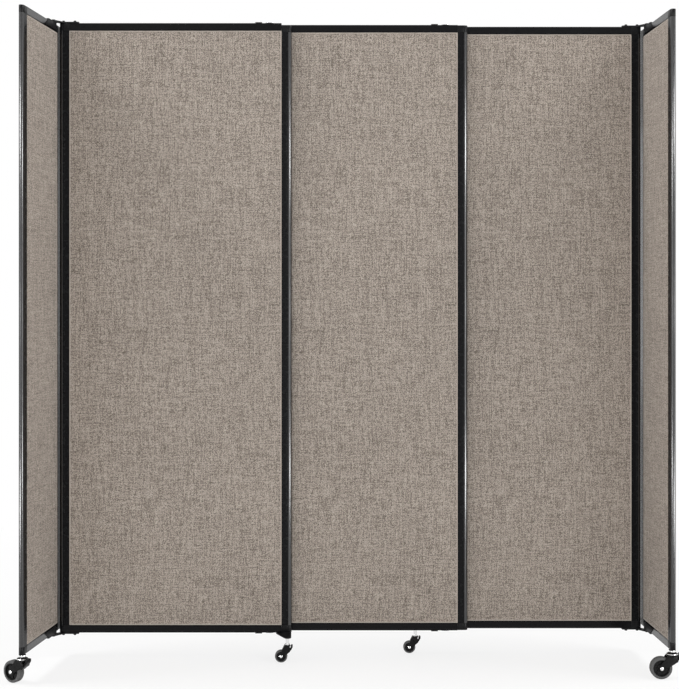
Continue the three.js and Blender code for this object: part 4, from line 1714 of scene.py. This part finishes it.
@dataclass
class Studio:
    """White floor and background, soft lamps and the camera of the photograph."""

    distance: float = 4.75
    focal_px: float = 1319.4
    image: tuple[int, int] = (679, 689)
    centre_px: float = 340.0
    horizon_px: float = 303.0
    camera_height: float = 1.277
    corner_to_camera: float = 1.0105
    soft_light: float = 0.4
    shadow_share: float = 0.21
    shadow_near: float = 1.2
    shadow_far: float = 3.4
    floor_half: float = 30.0
    floor_white: float = 0.94
    sensor: float = 36.0
    view_far: float = 60.0
    lamps: tuple[Softbox, ...] = (
        Softbox("left_softbox", (-4.4, -4.6, 1.35), (2.2, 2.6), 1.1),
        Softbox("right_softbox", (4.4, -4.6, 1.35), (2.2, 2.6), 1.3),
        Softbox("front_softbox", (0.0, -7.0, 1.2), (3.0, 2.0), 7.8, rays=Rays.MATT),
        Softbox("high_left_softbox", (-3.2, -0.3, 4.5), (1.5, 1.2), 23.0, (1.1, 0.0, 1.0)),
        Softbox("high_right_softbox", (3.2, -0.3, 4.5), (1.5, 1.2), 21.0, (-1.1, 0.0, 1.0)),
        Softbox("upper_left_strip", (-2.9, -2.4, 2.26), (2.0, 0.3), 30.0, (-0.3, 0.2, 1.8), Rays.GLOSS),
        Softbox("upper_right_strip", (2.9, -2.4, 2.26), (2.0, 0.3), 27.0, (0.3, 0.2, 1.8), Rays.GLOSS),
        Softbox("middle_left_strip", (-2.9, -2.4, 1.24), (2.0, 0.14), 9.0, (-0.3, 0.2, 1.25), Rays.GLOSS),
        Softbox("middle_right_strip", (2.9, -2.4, 1.24), (2.0, 0.14), 9.0, (0.3, 0.2, 1.25), Rays.GLOSS),
        Softbox("lower_left_strip", (-2.9, -2.4, 0.17), (2.0, 0.3), 30.0, (-0.3, 0.2, 0.65), Rays.GLOSS),
        Softbox("lower_right_strip", (2.9, -2.4, 0.17), (2.0, 0.3), 27.0, (0.3, 0.2, 0.65), Rays.GLOSS),
        Softbox("rear_softbox", (0.0, 5.5, 1.6), (3.0, 2.0), 1.2),
    )

    def build(self) -> None:
        """Makes the camera, the floor, the world and the lamps."""
        self.camera()
        self.floor()
        self.world()
        for lamp in self.lamps:
            lamp.build()

    def camera(self) -> None:
        """Sets the camera level, with the horizon moved by the lens shift."""
        data = bpy.data.cameras.new("camera")
        width, height = self.image
        data.sensor_width = self.sensor
        data.lens = self.focal_px * self.sensor / height
        data.shift_x = (width / 2 - self.centre_px) / height
        data.shift_y = -(height / 2 - self.horizon_px) / height
        data.clip_end = self.view_far
        camera = bpy.data.objects.new("camera", data)
        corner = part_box("left_left_stile")[0]
        camera.location = (corner.x + self.corner_to_camera, corner.y - self.distance, self.camera_height)
        camera.rotation_euler = (math.pi / 2, 0, 0)
        bpy.context.scene.collection.objects.link(camera)
        bpy.context.scene.camera = camera

    def seen(self, tree: bpy.types.NodeTree) -> Socket:
        """Value of 1 for what the camera sees, straight or in metal or glass.

        Args:
            tree: Node tree of the floor or the world.

        Returns:
            The clamped sum of the three kinds of ray.
        """
        paths = tree.nodes.new("ShaderNodeLightPath")
        value = paths.outputs["Is Camera Ray"]
        for kind in ("Is Glossy Ray", "Is Transmission Ray"):
            total = tree.nodes.new("ShaderNodeMath")
            total.operation = "ADD"
            total.use_clamp = True
            tree.links.new(value, total.inputs[0])
            tree.links.new(paths.outputs[kind], total.inputs[1])
            value = total.outputs[0]
        return value

    def floor(self) -> None:
        """Makes a wide white floor that keeps the screen's soft shadow near it."""
        mesh = bmesh.new()
        bmesh.ops.create_grid(mesh, x_segments=1, y_segments=1, size=self.floor_half)
        data = bpy.data.meshes.new("floor")
        mesh.to_mesh(data)
        mesh.free()
        floor = bpy.data.objects.new("floor", data)
        bpy.context.scene.collection.objects.link(floor)
        material = bpy.data.materials.new("white_floor")
        material.use_nodes = True
        tree = material.node_tree
        shader = tree.nodes["Principled BSDF"]
        shader.inputs["Base Color"].default_value = (*[self.floor_white] * 3, 1)
        shader.inputs["Roughness"].default_value = 0.9
        white = tree.nodes.new("ShaderNodeEmission")
        mix = tree.nodes.new("ShaderNodeMixShader")
        product = tree.nodes.new("ShaderNodeMath")
        product.operation = "MULTIPLY"
        tree.links.new(self.seen(tree), product.inputs[0])
        tree.links.new(self.plainness(tree), product.inputs[1])
        tree.links.new(product.outputs[0], mix.inputs["Fac"])
        tree.links.new(shader.outputs["BSDF"], mix.inputs[1])
        tree.links.new(white.outputs["Emission"], mix.inputs[2])
        tree.links.new(mix.outputs["Shader"], tree.nodes["Material Output"].inputs["Surface"])
        data.materials.append(material)

    def plainness(self, tree: bpy.types.NodeTree) -> Socket:
        """Share of plain white on the floor.

        Args:
            tree: Node tree of the floor.

        Returns:
            A value that rises to 1 well away from the screen.
        """
        place = tree.nodes.new("ShaderNodeTexCoord")
        length = tree.nodes.new("ShaderNodeVectorMath")
        length.operation = "LENGTH"
        tree.links.new(place.outputs["Object"], length.inputs[0])
        fade = tree.nodes.new("ShaderNodeMapRange")
        fade.interpolation_type = "SMOOTHSTEP"
        fade.inputs["From Min"].default_value = self.shadow_near
        fade.inputs["From Max"].default_value = self.shadow_far
        fade.inputs["To Min"].default_value = 1.0 - self.shadow_share
        fade.inputs["To Max"].default_value = 1.0
        tree.links.new(length.outputs["Value"], fade.inputs["Value"])
        return fade.outputs["Result"]

    def world(self) -> None:
        """Lights the scene softly and shows plain white behind it and in reflections."""
        world = bpy.data.worlds.new("studio")
        world.use_nodes = True
        tree = world.node_tree
        tree.nodes.clear()
        soft, white = (tree.nodes.new("ShaderNodeBackground") for _ in range(2))
        for background, strength in ((soft, self.soft_light), (white, 1.0)):
            background.inputs["Color"].default_value = (1, 1, 1, 1)
            background.inputs["Strength"].default_value = strength
        mix = tree.nodes.new("ShaderNodeMixShader")
        output = tree.nodes.new("ShaderNodeOutputWorld")
        tree.links.new(self.seen(tree), mix.inputs["Fac"])
        tree.links.new(soft.outputs["Background"], mix.inputs[1])
        tree.links.new(white.outputs["Background"], mix.inputs[2])
        tree.links.new(mix.outputs["Shader"], output.inputs["Surface"])
        bpy.context.scene.world = world


def main() -> None:
    """Builds the screen in its studio."""
    logging.basicConfig(level=logging.INFO, format="%(message)s")
    bpy.context.scene.view_settings.view_transform = "Standard"
    Studio().build()
    Screen().build()
    bpy.context.view_layer.update()


if __name__ == "__main__":
    main()
